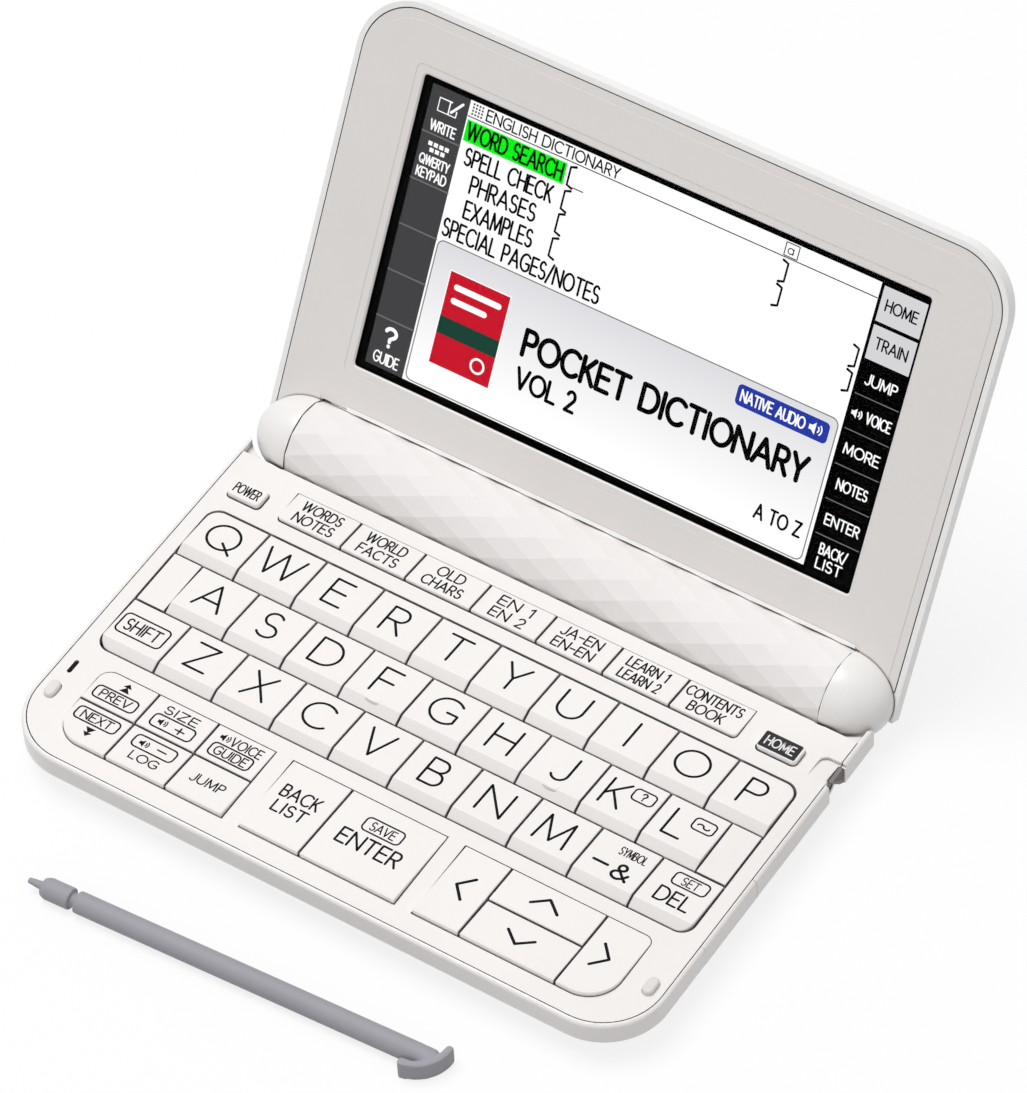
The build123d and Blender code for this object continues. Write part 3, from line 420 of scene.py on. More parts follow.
def metal(name, colour, roughness, scratch):
    """Bare or plated metal with fine uneven polish."""
    material = moulded(name, colour, colour, roughness, 0.0, scratch, 0.002 * mm)
    material.node_tree.nodes["Principled BSDF"].inputs["Metallic"].default_value = 1.0
    return material


black_screw = metal("black_screw", srgb(70, 70, 74), 0.35, 0.1)
dressed("case_screws", black_screw, edge=0.15 * mm)


# ---------------------------------------------------------------- inner pieces
# What shows only through gaps or with a cover off: the cells and their contacts, the circuit board,
# the key sheet, the speaker, the stylus tube and the hinge shafts.
nickel = metal("nickel", srgb(205, 203, 198), 0.25, 0.1)
steel = metal("plain_steel", srgb(150, 150, 153), 0.35, 0.08)
inner_finishes = {
    "battery_cells": moulded("cell_wrap", srgb(48, 62, 120), srgb(36, 46, 92), 0.3, 0.3, 0.2, 0.001 * mm),
    "battery_contacts": nickel,
    "hinge_shafts": steel,
    "circuit_board": moulded("solder_mask", srgb(24, 92, 52), srgb(16, 70, 38), 0.4, 0.2, 0.3, 0.004 * mm),
    "key_rubber_sheet": moulded(
        "key_sheet_rubber", srgb(70, 68, 68), srgb(56, 54, 54), 0.6, 0.0, 0.3, 0.01 * mm
    ),
    "speaker": moulded("speaker_black", srgb(30, 30, 31), srgb(22, 22, 23), 0.55, 0.0, 0.2, 0.01 * mm),
    "stylus_silo": moulded(
        "tube_grey", srgb(128, 124, 122), srgb(112, 109, 107), 0.5, 0.0, 0.3, 0.004 * mm
    ),
}
for node, material in inner_finishes.items():
    dressed(node, material, edge=0)


def side_plate(name, outline, left, right, material):
    """Plate that stands across the base, from its outline of (y, z) points."""
    count = len(outline)
    points = [(x * mm, y * mm, z * mm) for x in (left, right) for y, z in outline]
    sides = [tuple(reversed(range(count))), tuple(range(count, 2 * count))]
    for step in range(count):
        ahead = (step + 1) % count
        sides.append((step, ahead, ahead + count, step + count))
    mesh = bpy.data.meshes.new(name)
    mesh.from_pydata(points, [], sides)
    shaped = bmesh.new()
    shaped.from_mesh(mesh)
    bmesh.ops.recalc_face_normals(shaped, faces=shaped.faces)
    bmesh.ops.bevel(
        shaped, geom=shaped.edges[:], offset=0.08 * mm, segments=2, profile=0.5, affect="EDGES"
    )
    shaped.to_mesh(mesh)
    shaped.free()
    mesh.materials.append(material)
    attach(put(name, mesh), "base")


# The mouth of the stylus tube: a grey collar that fills the notch in the side, round a hole shown as a
# darker grey plate of painted shade.
silo_low, silo_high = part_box("stylus_silo")
mouth_x = silo_high.x / mm + 0.05
mouth_y = (silo_low.y + silo_high.y) / 2 / mm
collar_depth = 0.9
collar = [(-1.9, 9.35), (-1.6, 8.7), (1.0, 5.8), (1.8, 5.15), (2.35, 4.9), (2.35, 9.35)]
hole = [(-1.55, 9.3), (1.0, 6.95), (1.7, 6.6), (2.2, 6.75), (2.3, 9.3)]
# Painted shade: this darker plate stands for the shaded inside of the hole.
hole_shade_grey = moulded("hole_shade_grey", srgb(104, 100, 98), srgb(96, 92, 90), 0.6, 0.0, 0.3, 0.004 * mm)
for name, outline, near, far, material in (
    ("silo_collar", collar, 0.0, collar_depth, inner_finishes["stylus_silo"]),
    ("silo_hole", hole, collar_depth - 0.05, collar_depth + 0.1, hole_shade_grey),
):
    placed = [(mouth_y + y, z) for y, z in outline]
    side_plate(name, placed, mouth_x + near, mouth_x + far, material)


# ---------------------------------------------------------------- hinge barrel and domes
# The barrel's shell is a white moulding with shallow triangular facets.  Its two end domes are smooth
# mouldings that turn with the lid.
barrel_white = moulded(
    "barrel_white", srgb(243, 240, 239), srgb(238, 235, 233), 0.55, 0.0, 0.5, 0.001 * mm, shine=0.3
)
shaded_gaps(barrel_white, reach=0.5 * mm)
dressed("hinge_barrel", barrel_white, edge=0, crease=0.4)
dome_white = moulded("dome_white", srgb(245, 243, 241), srgb(239, 236, 234), 0.36, 0.15, 0.5, 0.001 * mm)
shaded_gaps(dome_white, reach=1.4 * mm)
dressed("hinge_end_caps", dome_white, edge=0)


# ---------------------------------------------------------------- lid
# A glossy white shell holds a satin light grey frame.  The clear touch panel sits in a rebate behind
# the frame's window, over the dark display module.
lid_white = moulded("lid_white", srgb(250, 249, 248), srgb(244, 242, 241), 0.3, 0.3, 0.6, 0.001 * mm)
shaded_gaps(lid_white)
dressed("lid_cover", lid_white, edge=0.2 * mm)
frame_grey = moulded(
    "frame_grey", srgb(236, 232, 230), srgb(229, 225, 223), 0.5, 0.03, 0.3, 0.006 * mm
)
shaded_gaps(frame_grey)
lid_slope = radians(61.0)
lid_place = Matrix.Translation(hinge_axis) @ Matrix.Rotation(lid_slope, 4, "X")
dressed("display_bezel", frame_grey, edge=0.06 * mm, play=0.12 * mm, sink=0.18 * mm, lie=lid_place)


def lid_plate(name, outlines, low, high, edge, material):
    """Flat plate on the lid, from an outline and its holes, between two levels along the lid's normal."""
    curve = bpy.data.curves.new(name, "CURVE")
    curve.dimensions = "2D"
    curve.fill_mode = "BOTH"
    curve.extrude = (high - low) / 2 * mm
    for outline in outlines:
        spline = curve.splines.new("POLY")
        spline.points.add(len(outline) - 1)
        for point, (x, y) in zip(spline.points, outline):
            point.co = (x * mm, y * mm, 0, 1)
        spline.use_cyclic_u = True
    flat = put(name, curve)
    bpy.context.view_layer.update()
    mesh = bpy.data.meshes.new_from_object(flat.evaluated_get(bpy.context.evaluated_depsgraph_get()))
    bpy.data.objects.remove(flat)
    shaped = bmesh.new()
    shaped.from_mesh(mesh)
    bmesh.ops.remove_doubles(shaped, verts=shaped.verts, dist=0.001 * mm)
    bmesh.ops.dissolve_limit(shaped, angle_limit=radians(0.05), verts=shaped.verts, edges=shaped.edges)
    bmesh.ops.recalc_face_normals(shaped, faces=shaped.faces)
    brinks = [seam for seam in shaped.edges if seam.calc_face_angle(0) > radians(60)]
    bmesh.ops.bevel(shaped, geom=brinks, offset=edge * mm, segments=2, profile=0.5, affect="EDGES")
    shaped.transform(lid_place @ Matrix.Translation((0, 0, (low + high) / 2 * mm)))
    shaped.to_mesh(mesh)
    shaped.free()
    mesh.materials.clear()
    mesh.materials.append(material)
    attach(put(name, mesh), "lid")


def arc(x, y, across, up, start, end):
    """Part of an ellipse, with its angles in degrees."""
    steps = max(3, int(abs(end - start) / 12))
    angles = [radians(start + (end - start) * step / steps) for step in range(steps + 1)]
    return [(x + across * cos(angle), y + up * sin(angle)) for angle in angles]


def rounded(left, right, bottom, top, radius):
    """Rectangle with round corners."""
    corners = (
        (right - radius, top - radius, 0),
        (left + radius, top - radius, 90),
        (left + radius, bottom + radius, 180),
        (right - radius, bottom + radius, 270),
    )
    return [point for x, y, turn in corners for point in arc(x, y, radius, radius, turn, turn + 90)]


# The frame's face stands a trace prouder between its sloping border and the step round the window, and the
# white lid shows as a thin lip along the barrel, given a purer white than the lid's shell as a painted
# highlight.
to_lid = lid_place.inverted()
bezel_level = max((to_lid @ v.co).z for v in nodes["display_bezel"].data.vertices) / mm
face_depth, face_thickness = 0.08, 0.27
lip_depth, lip_thickness = 0.05, 0.45
face_half, face_top, face_bottom, face_corner = 71.5, 94.2, 5.0, 10.2
barrel_side, barrel_front = 64.0, 10.0
corner_x, corner_y = face_half - face_corner, face_top - face_corner
face = arc(corner_x, corner_y, face_corner, face_corner, 0, 90)
face += arc(-corner_x, corner_y, face_corner, face_corner, 90, 180)
face += [(-face_half, face_bottom), (-barrel_side, face_bottom), (-barrel_side, barrel_front)]
face += [(barrel_side, barrel_front), (barrel_side, face_bottom), (face_half, face_bottom)]
window_step = rounded(-60.4, 60.4, 17.0, 85.8, 1.4)
face_level = bezel_level - face_depth
lid_plate(
    "frame_face", [face, window_step], face_level - face_thickness, face_level, 0.06, frame_grey
)
lip = [(-57.5, 9.02), (63.0, 9.02), (63.0, 9.9), (-57.5, 9.9)]
# Partly painted highlight: the lip is brighter than the lid's shell and takes no gap shade.
lip_highlight_white = moulded("lip_highlight_white", srgb(255, 254, 253), srgb(252, 251, 250), 0.3, 0.0, 0.3, 0.004 * mm)
lip_level = bezel_level - lip_depth
lid_plate("frame_lip", [lip], lip_level - lip_thickness, lip_level, 0.05, lip_highlight_white)

clear_panel = bpy.data.materials.new("clear_panel")
clear_panel.use_nodes = True
shader = clear_panel.node_tree.nodes["Principled BSDF"]
shader.inputs["Base Color"].default_value = (1, 1, 1, 1)
shader.inputs["Transmission Weight"].default_value = 1.0
shader.inputs["Roughness"].default_value = 0.02
shader.inputs["IOR"].default_value = 1.08
shader.inputs["Specular IOR Level"].default_value = 0.1
dressed("touch_panel", clear_panel, edge=0)
module_black = moulded(
    "module_black", srgb(2, 2, 3), srgb(1, 1, 2), 0.7, 0.0, 0.3, 0.002 * mm, shine=0.0
)
dressed("lcd_module", module_black, edge=0)


# ---------------------------------------------------------------- keys
# Satin white caps with softly broken corners. Their front slopes are given a greyer copy of the key white
# as painted shade, and down in the gaps their sides are darkened with painted shade.
key_white = moulded(
    "key_white", srgb(247, 244, 242), srgb(242, 239, 237), 0.42, 0.03, 0.3, 0.006 * mm
)
shaded_gaps(key_white)
slope_shade_white = moulded(
    "slope_shade_white", srgb(234, 231, 229), srgb(228, 225, 223), 0.5, 0.0, 0.3, 0.006 * mm
)
shaded_gaps(slope_shade_white)
key_nodes = [node for node in nodes if node.startswith("key_") and node != "key_rubber_sheet"]
for node in key_nodes + ["function_keys", "dictionary_keys"]:
    cap = dressed(node, key_white, edge=0.16 * mm, crease=5, bevel_from=14)
    # Painted shade: faces that slope towards the front take the greyer copy of the key material.
    cap.data.materials.append(slope_shade_white)
    for face in cap.data.polygons:
        if face.normal.y < -0.1 and face.normal.z > 0.6:
            face.material_index = 1

# The F and J caps carry a small raised lens near the front edge, for the fingers to find; round its
# foot lies a faint shade.
lens_from_front = 2.2 * mm
lens_sunk = 0.26 * mm
foot_grey = moulded("foot_grey", srgb(205, 202, 200), srgb(200, 197, 195), 0.5, 0.0, 0.3, 0.006 * mm)
for node in ("key_f", "key_j"):
    low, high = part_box(node)
    for name, material, size, ahead in (
        ("lens", key_white, (1.7, 0.5, 0.3), 0),
        ("lens_foot", foot_grey, (1.75, 0.52, 0.27), 0.16 * mm),
    ):
        shaped = bmesh.new()
        bmesh.ops.create_uvsphere(shaped, u_segments=24, v_segments=12, radius=1.0)
        shaped.transform(Matrix.Diagonal([radius * mm for radius in size] + [1]))
        middle = ((low.x + high.x) / 2, low.y + lens_from_front - ahead, high.z - lens_sunk)
        shaped.transform(Matrix.Translation(middle))
        mesh = bpy.data.meshes.new(f"{node}_{name}")
        shaped.to_mesh(mesh)
        shaped.free()
        for face in mesh.polygons:
            face.use_smooth = True
        mesh.materials.append(material)
        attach(put(f"{node}_{name}", mesh), nodes[node]["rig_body"])


# ---------------------------------------------------------------- key legends
# Thin black geometric letters and words, pad-printed on the caps.  Each line of a letter is a pen
# stroke: a path that gets a flat width and round ends, and is laid down on the slope of its cap.
def lines(*ends):
    """Straight strokes, each from its first (x, y) to its second."""
    return [[(x, y), (to_x, to_y)] for x, y, to_x, to_y in ends]


def pill(left, right, bottom, top, radius):
    """One stroke that frames a word."""
    outline = rounded(left, right, bottom, top, radius)
    return [outline + [outline[0]]]


bowl = arc(0.36, 0.74, 0.26, 0.26, 90, -90)
hoop = arc(0.53, 0.5, 0.53, 0.5, 0, 360)
glyphs = {
    " ": (0.35, []),
    "A": (0.91, lines((0, 0, 0.455, 1), (0.455, 1, 0.91, 0), (0.15, 0.33, 0.76, 0.33))),
    "B": (
        0.66,
        lines((0, 0, 0, 1))
        + [[(0, 1), *arc(0.36, 0.76, 0.24, 0.24, 90, -90), (0, 0.52)]]
        + [[(0.36, 0.52), *arc(0.4, 0.26, 0.26, 0.26, 90, -90), (0, 0)]],
    ),
    "C": (0.9, [arc(0.52, 0.5, 0.52, 0.5, 46, 314)]),
    "D": (0.88, lines((0, 0, 0, 1)) + [[(0, 1), *arc(0.38, 0.5, 0.5, 0.5, 90, -90), (0, 0)]]),
    "E": (0.64, lines((0, 0, 0, 1), (0, 1, 0.62, 1), (0, 0.52, 0.56, 0.52), (0, 0, 0.64, 0))),
    "F": (0.61, lines((0, 0, 0, 1), (0, 1, 0.61, 1), (0, 0.5, 0.54, 0.5))),
    "G": (
        0.93,
        [arc(0.52, 0.5, 0.52, 0.5, 46, 318)]
        + lines((0.91, 0.16, 0.91, 0.46), (0.91, 0.46, 0.56, 0.46)),
    ),
    "H": (0.76, lines((0, 0, 0, 1), (0.76, 0, 0.76, 1), (0, 0.52, 0.76, 0.52))),
    "I": (0.08, lines((0.04, 0, 0.04, 1))),
    "J": (0.54, [[(0.54, 1), (0.54, 0.28), *arc(0.27, 0.28, 0.27, 0.28, -10, -150)]]),
    "K": (0.64, lines((0, 0, 0, 1), (0, 0.36, 0.6, 1), (0.2, 0.57, 0.64, 0))),
    "L": (0.58, lines((0, 0, 0, 1), (0, 0, 0.58, 0))),
    "M": (
        1.01,
        lines((0, 0, 0.09, 1), (0.09, 1, 0.505, 0.1), (0.505, 0.1, 0.92, 1), (0.92, 1, 1.01, 0)),
    ),
    "N": (0.84, lines((0, 0, 0, 1), (0, 1, 0.84, 0), (0.84, 0, 0.84, 1))),
    "O": (1.06, [hoop]),
    "P": (0.62, lines((0, 0, 0, 1)) + [[(0, 1), *bowl, (0, 0.48)]]),
    "Q": (1.08, [hoop] + lines((0.62, 0.3, 1.04, -0.05))),
    "R": (0.66, lines((0, 0, 0, 1)) + [[(0, 1), *bowl, (0, 0.48)]] + lines((0.3, 0.48, 0.66, 0))),
    "S": (
        0.64,
        [arc(0.31, 0.745, 0.27, 0.255, 35, 250) + arc(0.33, 0.255, 0.31, 0.255, 70, -148)],
    ),
    "T": (0.76, lines((0, 1, 0.76, 1), (0.38, 0, 0.38, 1))),
    "U": (0.84, [[(0, 1), *arc(0.42, 0.4, 0.42, 0.4, 180, 360), (0.84, 1)]]),
    "V": (0.84, lines((0, 1, 0.42, 0), (0.42, 0, 0.84, 1))),
    "W": (
        1.31,
        lines((0, 1, 0.33, 0), (0.33, 0, 0.655, 1), (0.655, 1, 0.98, 0), (0.98, 0, 1.31, 1)),
    ),
    "X": (0.78, lines((0, 0, 0.76, 1), (0.02, 1, 0.78, 0))),
    "Y": (0.75, lines((0, 1, 0.375, 0.45), (0.75, 1, 0.375, 0.45), (0.375, 0.45, 0.375, 0))),
    "Z": (0.75, lines((0, 1, 0.73, 1), (0.73, 1, 0.02, 0), (0.02, 0, 0.75, 0))),
    "1": (0.3, lines((0.26, 0, 0.26, 1), (0.26, 1, 0.02, 0.8))),
    "2": (0.62, [[*arc(0.3, 0.72, 0.28, 0.28, 160, -30), (0.02, 0)]] + lines((0.02, 0, 0.62, 0))),
    "/": (0.5, lines((0, -0.08, 0.5, 1.08))),
    "-": (0.5, lines((0, 0.45, 0.5, 0.45))),
    "+": (0.7, lines((0, 0.45, 0.7, 0.45), (0.35, 0.1, 0.35, 0.8))),
    "?": (
        0.5,
        [arc(0.25, 0.75, 0.25, 0.25, 165, -60) + [(0.25, 0.42), (0.25, 0.28)]]
        + lines((0.25, 0.03, 0.25, 0.05)),
    ),
    "&": (
        0.8,
        [
            [(0.8, 0.02), (0.16, 0.68)]
            + arc(0.34, 0.8, 0.19, 0.2, 200, -50)
            + arc(0.3, 0.26, 0.3, 0.27, 130, 290)
            + [(0.62, 0.16), (0.78, 0.44)]
        ],
    ),
}


def words(text, left, right, bottom, top, gap=0.24):
    """Pen strokes of a line of capitals, fitted into a box."""
    advance = 0.0
    strokes = []
    for letter in text:
        width, shapes = glyphs[letter]
        strokes += [[(advance + x, y) for x, y in shape] for shape in shapes]
        advance += width + gap
    stretch = (right - left) / max(advance - gap, 0.01)
    return [[(left + x * stretch, bottom + y * (top - bottom)) for x, y in stroke] for stroke in strokes]


def speaker_mark(left, bottom, height):
    """Loudspeaker with two sound waves: (pen strokes, filled shapes)."""
    shape = [(0, 0.32), (0.22, 0.32), (0.5, 0.05), (0.5, 0.95), (0.22, 0.68), (0, 0.68)]
    waves = [arc(0.5, 0.5, 0.28, 0.28, -42, 42), arc(0.5, 0.5, 0.5, 0.5, -42, 42)]
    placed = [[(left + x * height, bottom + y * height) for x, y in part] for part in (*waves, shape)]
    return placed[:2], placed[2:]


pen = bpy.data.node_groups.new("pen_strokes", "GeometryNodeTree")
pen.interface.new_socket("Paths", in_out="INPUT", socket_type="NodeSocketGeometry")
pen.interface.new_socket("Pen width", in_out="INPUT", socket_type="NodeSocketFloat")
pen.interface.new_socket("Ink height", in_out="INPUT", socket_type="NodeSocketFloat")
pen.interface.new_socket("Ink", in_out="INPUT", socket_type="NodeSocketMaterial")
pen.interface.new_socket("Strokes", in_out="OUTPUT", socket_type="NodeSocketGeometry")
pen_in = pen.nodes.new("NodeGroupInput")
pen_out = pen.nodes.new("NodeGroupOutput")
paths = pen.nodes.new("GeometryNodeMeshToCurve")
upright = pen.nodes.new("GeometryNodeSetCurveNormal")
upright.mode = "Z_UP"
nib = pen.nodes.new("GeometryNodeCurvePrimitiveQuadrilateral")
ribbon = pen.nodes.new("GeometryNodeCurveToMesh")
ribbon.inputs["Scale"].default_value = 1.0
ribbon.inputs["Fill Caps"].default_value = True
ends = pen.nodes.new("GeometryNodeCurveEndpointSelection")
dot = pen.nodes.new("GeometryNodeMeshCylinder")
dot.inputs["Vertices"].default_value = 12
half = maths(pen, "MULTIPLY", 0.5)
thinner = maths(pen, "MULTIPLY", 0.9)
dots = pen.nodes.new("GeometryNodeInstanceOnPoints")
together = pen.nodes.new("GeometryNodeJoinGeometry")
real = pen.nodes.new("GeometryNodeRealizeInstances")
inked = pen.nodes.new("GeometryNodeSetMaterial")
for source, target in (
    (pen_in.outputs["Paths"], paths.inputs["Mesh"]),
    (paths.outputs["Curve"], upright.inputs["Curve"]),
    (pen_in.outputs["Pen width"], nib.inputs["Width"]),
    (pen_in.outputs["Ink height"], nib.inputs["Height"]),
    (upright.outputs["Curve"], ribbon.inputs["Curve"]),
    (nib.outputs["Curve"], ribbon.inputs["Profile Curve"]),
    (pen_in.outputs["Pen width"], half.inputs[0]),
    (half.outputs[0], dot.inputs["Radius"]),
    (pen_in.outputs["Ink height"], thinner.inputs[0]),
    (thinner.outputs[0], dot.inputs["Depth"]),
    (paths.outputs["Curve"], dots.inputs["Points"]),
    (ends.outputs["Selection"], dots.inputs["Selection"]),
    (dot.outputs["Mesh"], dots.inputs["Instance"]),
    (ribbon.outputs["Mesh"], together.inputs["Geometry"]),
    (dots.outputs["Instances"], together.inputs["Geometry"]),
    (together.outputs["Geometry"], real.inputs["Geometry"]),
    (real.outputs["Geometry"], inked.inputs["Geometry"]),
    (pen_in.outputs["Ink"], inked.inputs["Material"]),
    (inked.outputs["Geometry"], pen_out.inputs["Strokes"]),
):
    pen.links.new(source, target)


def drawn(name, marks, ink, height=0.016):
    """Flat plain mesh in the XY plane of marks: (pen width, strokes) pairs, or (0, filled shapes).
    Lengths are in millimetres."""
    parts = []
    for width, shapes in marks:
        points = [(x * mm, y * mm, 0) for shape in shapes for x, y in shape]
        joined = []
        first = 0
        mesh = bpy.data.meshes.new(name)
        if width:
            for shape in shapes:
                joined += [(first + step, first + step + 1) for step in range(len(shape) - 1)]
                first += len(shape)
            mesh.from_pydata(points, joined, [])
        else:
            count = len(points)
            low = [(x, y, -height / 2 * mm) for x, y, z in points]
            high = [(x, y, height / 2 * mm) for x, y, z in points]
            for shape in shapes:
                size = len(shape)
                turn = sum(
                    shape[step - 1][0] * shape[step][1] - shape[step][0] * shape[step - 1][1]
                    for step in range(size)
                )
                ring = [first + step for step in range(size)]
                if turn < 0:
                    ring.reverse()
                joined.append(tuple(reversed(ring)))
                joined.append(tuple(count + step for step in ring))
                for step in range(size):
                    a, b = ring[step - 1], ring[step]
                    joined.append((a, b, count + b, count + a))
                first += size
            mesh.from_pydata(low + high, [], joined)
            mesh.materials.append(ink)
        part = put(name, mesh)
        if width:
            strokes = part.modifiers.new("pen_strokes", "NODES")
            strokes.node_group = pen
            for label, value in (("Pen width", width * mm), ("Ink height", height * mm), ("Ink", ink)):
                strokes[pen.interface.items_tree[label].identifier] = value
            plain(part)
        parts.append(part)
    shaped = bmesh.new()
    for part in parts:
        shaped.from_mesh(part.data)
        bpy.data.objects.remove(part)
    mesh = bpy.data.meshes.new(name)
    shaped.to_mesh(mesh)
    shaped.free()
    mesh.materials.append(ink)
    return put(name, mesh)


def printed(node, marks, ink, lift=0.012):
    """Prints marks on the top of a cap, which they follow."""
    piece = drawn(f"{node}_legend", marks, ink)
    cap = nodes[node].data
    ground = BVHTree.FromPolygons([v.co for v in cap.vertices], [p.vertices for p in cap.polygons])
    for vertex in piece.data.vertices:
        hit = ground.ray_cast(Vector((vertex.co.x, vertex.co.y, 0.1)), Vector((0, 0, -1)))[0]
        vertex.co.z += hit.z + lift * mm
    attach(piece, nodes[node]["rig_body"])
    return piece


def ink(name, colour, dark_colour):
    """Matt printing ink."""
    return moulded(name, colour, dark_colour, 0.7, 0.0, 0.1, 0.001 * mm, shine=0.1)


legend_ink = ink("legend_ink", srgb(24, 22, 23), srgb(16, 15, 16))
letter_height = 6.7
letter_pen = 0.54
letter_from_back = 2.4
keys_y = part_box("key_q")[1].y / mm + 0.25


def cap_middle(node):
    """(x of the middle, y of the back edge) of a cap, in millimetres."""
    low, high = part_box(node)
    return (low.x + high.x) / 2 / mm, high.y / mm


for letter in "QWERTYUIOPASDFGHJKLZXCVBNM":
    x, back = cap_middle(f"key_{letter.lower()}")
    width = glyphs[letter][0] * letter_height
    shift = {"K": -2.2, "L": -1.8}.get(letter, -0.25)
    left = x + shift - width / 2
    top = back - letter_from_back
    marks = [(letter_pen, words(letter, left, left + width, top - letter_height, top))]
    if letter == "K":
        marks += [(0.36, pill(x + 0.65, x + 5.45, top - 2.9, top + 0.2, 0.9))]
        marks += [(0.36, words("?", x + 2.6, x + 3.5, top - 2.3, top - 0.4))]
    if letter == "L":
        wave = arc(x + 2.2, top - 1.5, 0.65, 0.4, 180, 0) + arc(x + 3.5, top - 1.5, 0.65, 0.4, 180, 360)
        marks += [(0.36, pill(x + 0.5, x + 5.3, top - 2.9, top + 0.2, 0.9) + [wave])]
    printed(f"key_{letter.lower()}", marks, legend_ink)


# ---------------------------------------------------------------- word legends
# The other keys carry one or two small words each; a second meaning stands in a round-cornered frame.
def labelled(node, marks):
    """Prints marks whose places are counted from the back edge of the letter keys."""
    moved = []
    for width, shapes in marks:
        moved.append((width, [[(x + 0.25, y + keys_y) for x, y in shape] for shape in shapes]))
    printed(node, moved, legend_ink)


shift_mark = [
    (0.38, pill(-68.6, -57.8, -36.9, -31.5, 1.1)),
    (0.38, words("SHIFT", -67.2, -59.2, -35.7, -32.7)),
]
labelled("key_shift", shift_mark)
symbols_mark = [
    (0.25, words("SYMBOL", 47.4, 53.3, -31.9, -29.9)),
    (0.6, [[(44.1, -35.5), (47.3, -35.5)]] + words("&", 48.9, 52.3, -37.6, -33.9)),
]
labelled("key_symbols", symbols_mark)
delete_mark = [
    (0.36, pill(59.6, 67.2, -32.6, -29.4, 0.9)),
    (0.25, words("SET", 61.6, 65.2, -32.0, -30.0)),
    (0.45, words("DEL", 58.8, 66.2, -37.6, -34.1)),
]
labelled("key_delete", delete_mark)

waves_up, horn_up = speaker_mark(-47.6, -52.3, 2.1)
waves_down, horn_down = speaker_mark(-47.6, -58.6, 2.1)
waves_side, horn_side = speaker_mark(-34.9, -49.0, 2.2)
arrows = [
    [(-58.55, -47.6), (-57.6, -46.5), (-56.65, -47.6)],
    [(-58.75, -48.9), (-57.6, -47.5), (-56.45, -48.9)],
    [(-58.55, -61.2), (-57.6, -62.3), (-56.65, -61.2)],
    [(-58.75, -59.9), (-57.6, -61.3), (-56.45, -59.9)],
]
function_mark = [
    (0.37, pill(-62.9, -53.0, -52.8, -49.6, 1.0) + pill(-62.9, -53.0, -59.1, -55.8, 1.0)),
    (0.37, pill(-49.0, -39.3, -52.9, -49.6, 1.0) + pill(-49.0, -39.3, -59.1, -55.8, 1.0)),
    (0.37, pill(-35.1, -25.5, -52.9, -49.6, 1.0)),
    (0.31, words("PREV", -61.4, -54.5, -52.2, -50.2) + words("NEXT", -61.4, -54.5, -58.5, -56.4)),
    (0.31, words("SIZE", -48.0, -40.4, -48.9, -46.9) + words("LOG", -47.3, -40.9, -62.1, -60.1)),
    (0.31, words("VOICE", -32.2, -25.2, -49.0, -46.8) + words("GUIDE", -34.0, -26.6, -52.3, -50.2)),
    (0.31, words("JUMP", -34.0, -26.4, -60.3, -58.1)),
    (0.36, words("+", -43.4, -41.4, -52.4, -50.1) + [[(-43.4, -57.45), (-41.4, -57.45)]]),
    (0.26, waves_up + waves_down + waves_side),
    (0, arrows + horn_up + horn_down + horn_side),
]
labelled("function_keys", function_mark)

back_mark = [(0.42, words("BACK", -16.8, -8.3, -54.1, -51.1) + words("LIST", -16.2, -8.9, -58.1, -55.3))]
labelled("key_back", back_mark)
enter_mark = [
    (0.36, pill(1.3, 10.0, -52.8, -49.3, 1.0)),
    (0.28, words("SAVE", 2.9, 8.4, -52.1, -50.0)),
    (0.48, words("ENTER", -1.3, 12.5, -57.8, -54.1)),
]
labelled("key_enter", enter_mark)
for node, chevron in (
    ("key_left", [(27.6, -51.5), (24.9, -54.45), (27.6, -57.4)]),
    ("key_right", [(57.0, -51.5), (59.7, -54.45), (57.0, -57.4)]),
    ("key_up", [(39.3, -50.6), (42.35, -48.1), (45.4, -50.6)]),
    ("key_down", [(39.3, -58.3), (42.35, -60.8), (45.4, -58.3)]),
):
    labelled(node, [(0.62, [chevron[:2], chevron[1:]])])

pairs = (
    ("WORDS", "NOTES"),
    ("WORLD", "FACTS"),
    ("OLD", "CHARS"),
    ("EN 1", "EN 2"),
    ("JA-EN", "EN-EN"),
    ("LEARN 1", "LEARN 2"),
    ("CONTENTS", "BOOK"),
)
low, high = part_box("dictionary_keys")
pitch = (high.x - low.x) / mm / len(pairs)
pair_strokes = []
for column, (upper, lower) in enumerate(pairs):
    middle = low.x / mm + (column + 0.5) * pitch - 0.3
    for text, base in ((upper, 8.4), (lower, 4.9)):
        reach = 6.3 if text == "CONTENTS" else min(0.85 * len(text) + 0.5, 4.6)
        pair_strokes += words(text, middle - reach, middle + reach, keys_y + base, keys_y + base + 2.5)
printed("dictionary_keys", [(0.36, pair_strokes)], legend_ink)
power_x, power_back = cap_middle("key_power")
power_mark = [(0.3, words("POWER", power_x - 2.9, power_x + 2.9, power_back - 3.5, power_back - 1.2))]
printed("key_power", power_mark, legend_ink)

# A black sheet in the microphone's slot at the left edge of the deck is painted shade for the dark inside
# of the slot.
mic_slot_outline = rounded(-70.42, -69.58, -41.5, -38.5, 0.41)
mic_shade_depth = 0.45 * mm
mic_slot_shade = drawn("microphone_slot_shade", [(0, [mic_slot_outline])], legend_ink, height=0.3)
mic_slot_shade.data.transform(
    Matrix.Translation((0, 0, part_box("keyboard_cover")[1].z - mic_shade_depth))
)
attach(mic_slot_shade, "base")

home_ink = ink("home_ink", srgb(56, 56, 59), srgb(50, 50, 53))
white_ink = ink("white_ink", srgb(250, 250, 250), srgb(244, 244, 244))
low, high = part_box("key_home")
left, right, front, back = (value / mm for value in (low.x, high.x, low.y, high.y))
face = rounded(left + 0.25, right - 0.45, front + 0.35, back - 0.25, 0.35)
home_plate = printed("key_home", [(0, [face])], home_ink)
home_plate.name = "key_home_face"
home_word = [(0.32, words("HOME", left + 1.3, right - 1.5, front + 1.3, back - 1.2))]
printed("key_home", home_word, white_ink, lift=0.03)


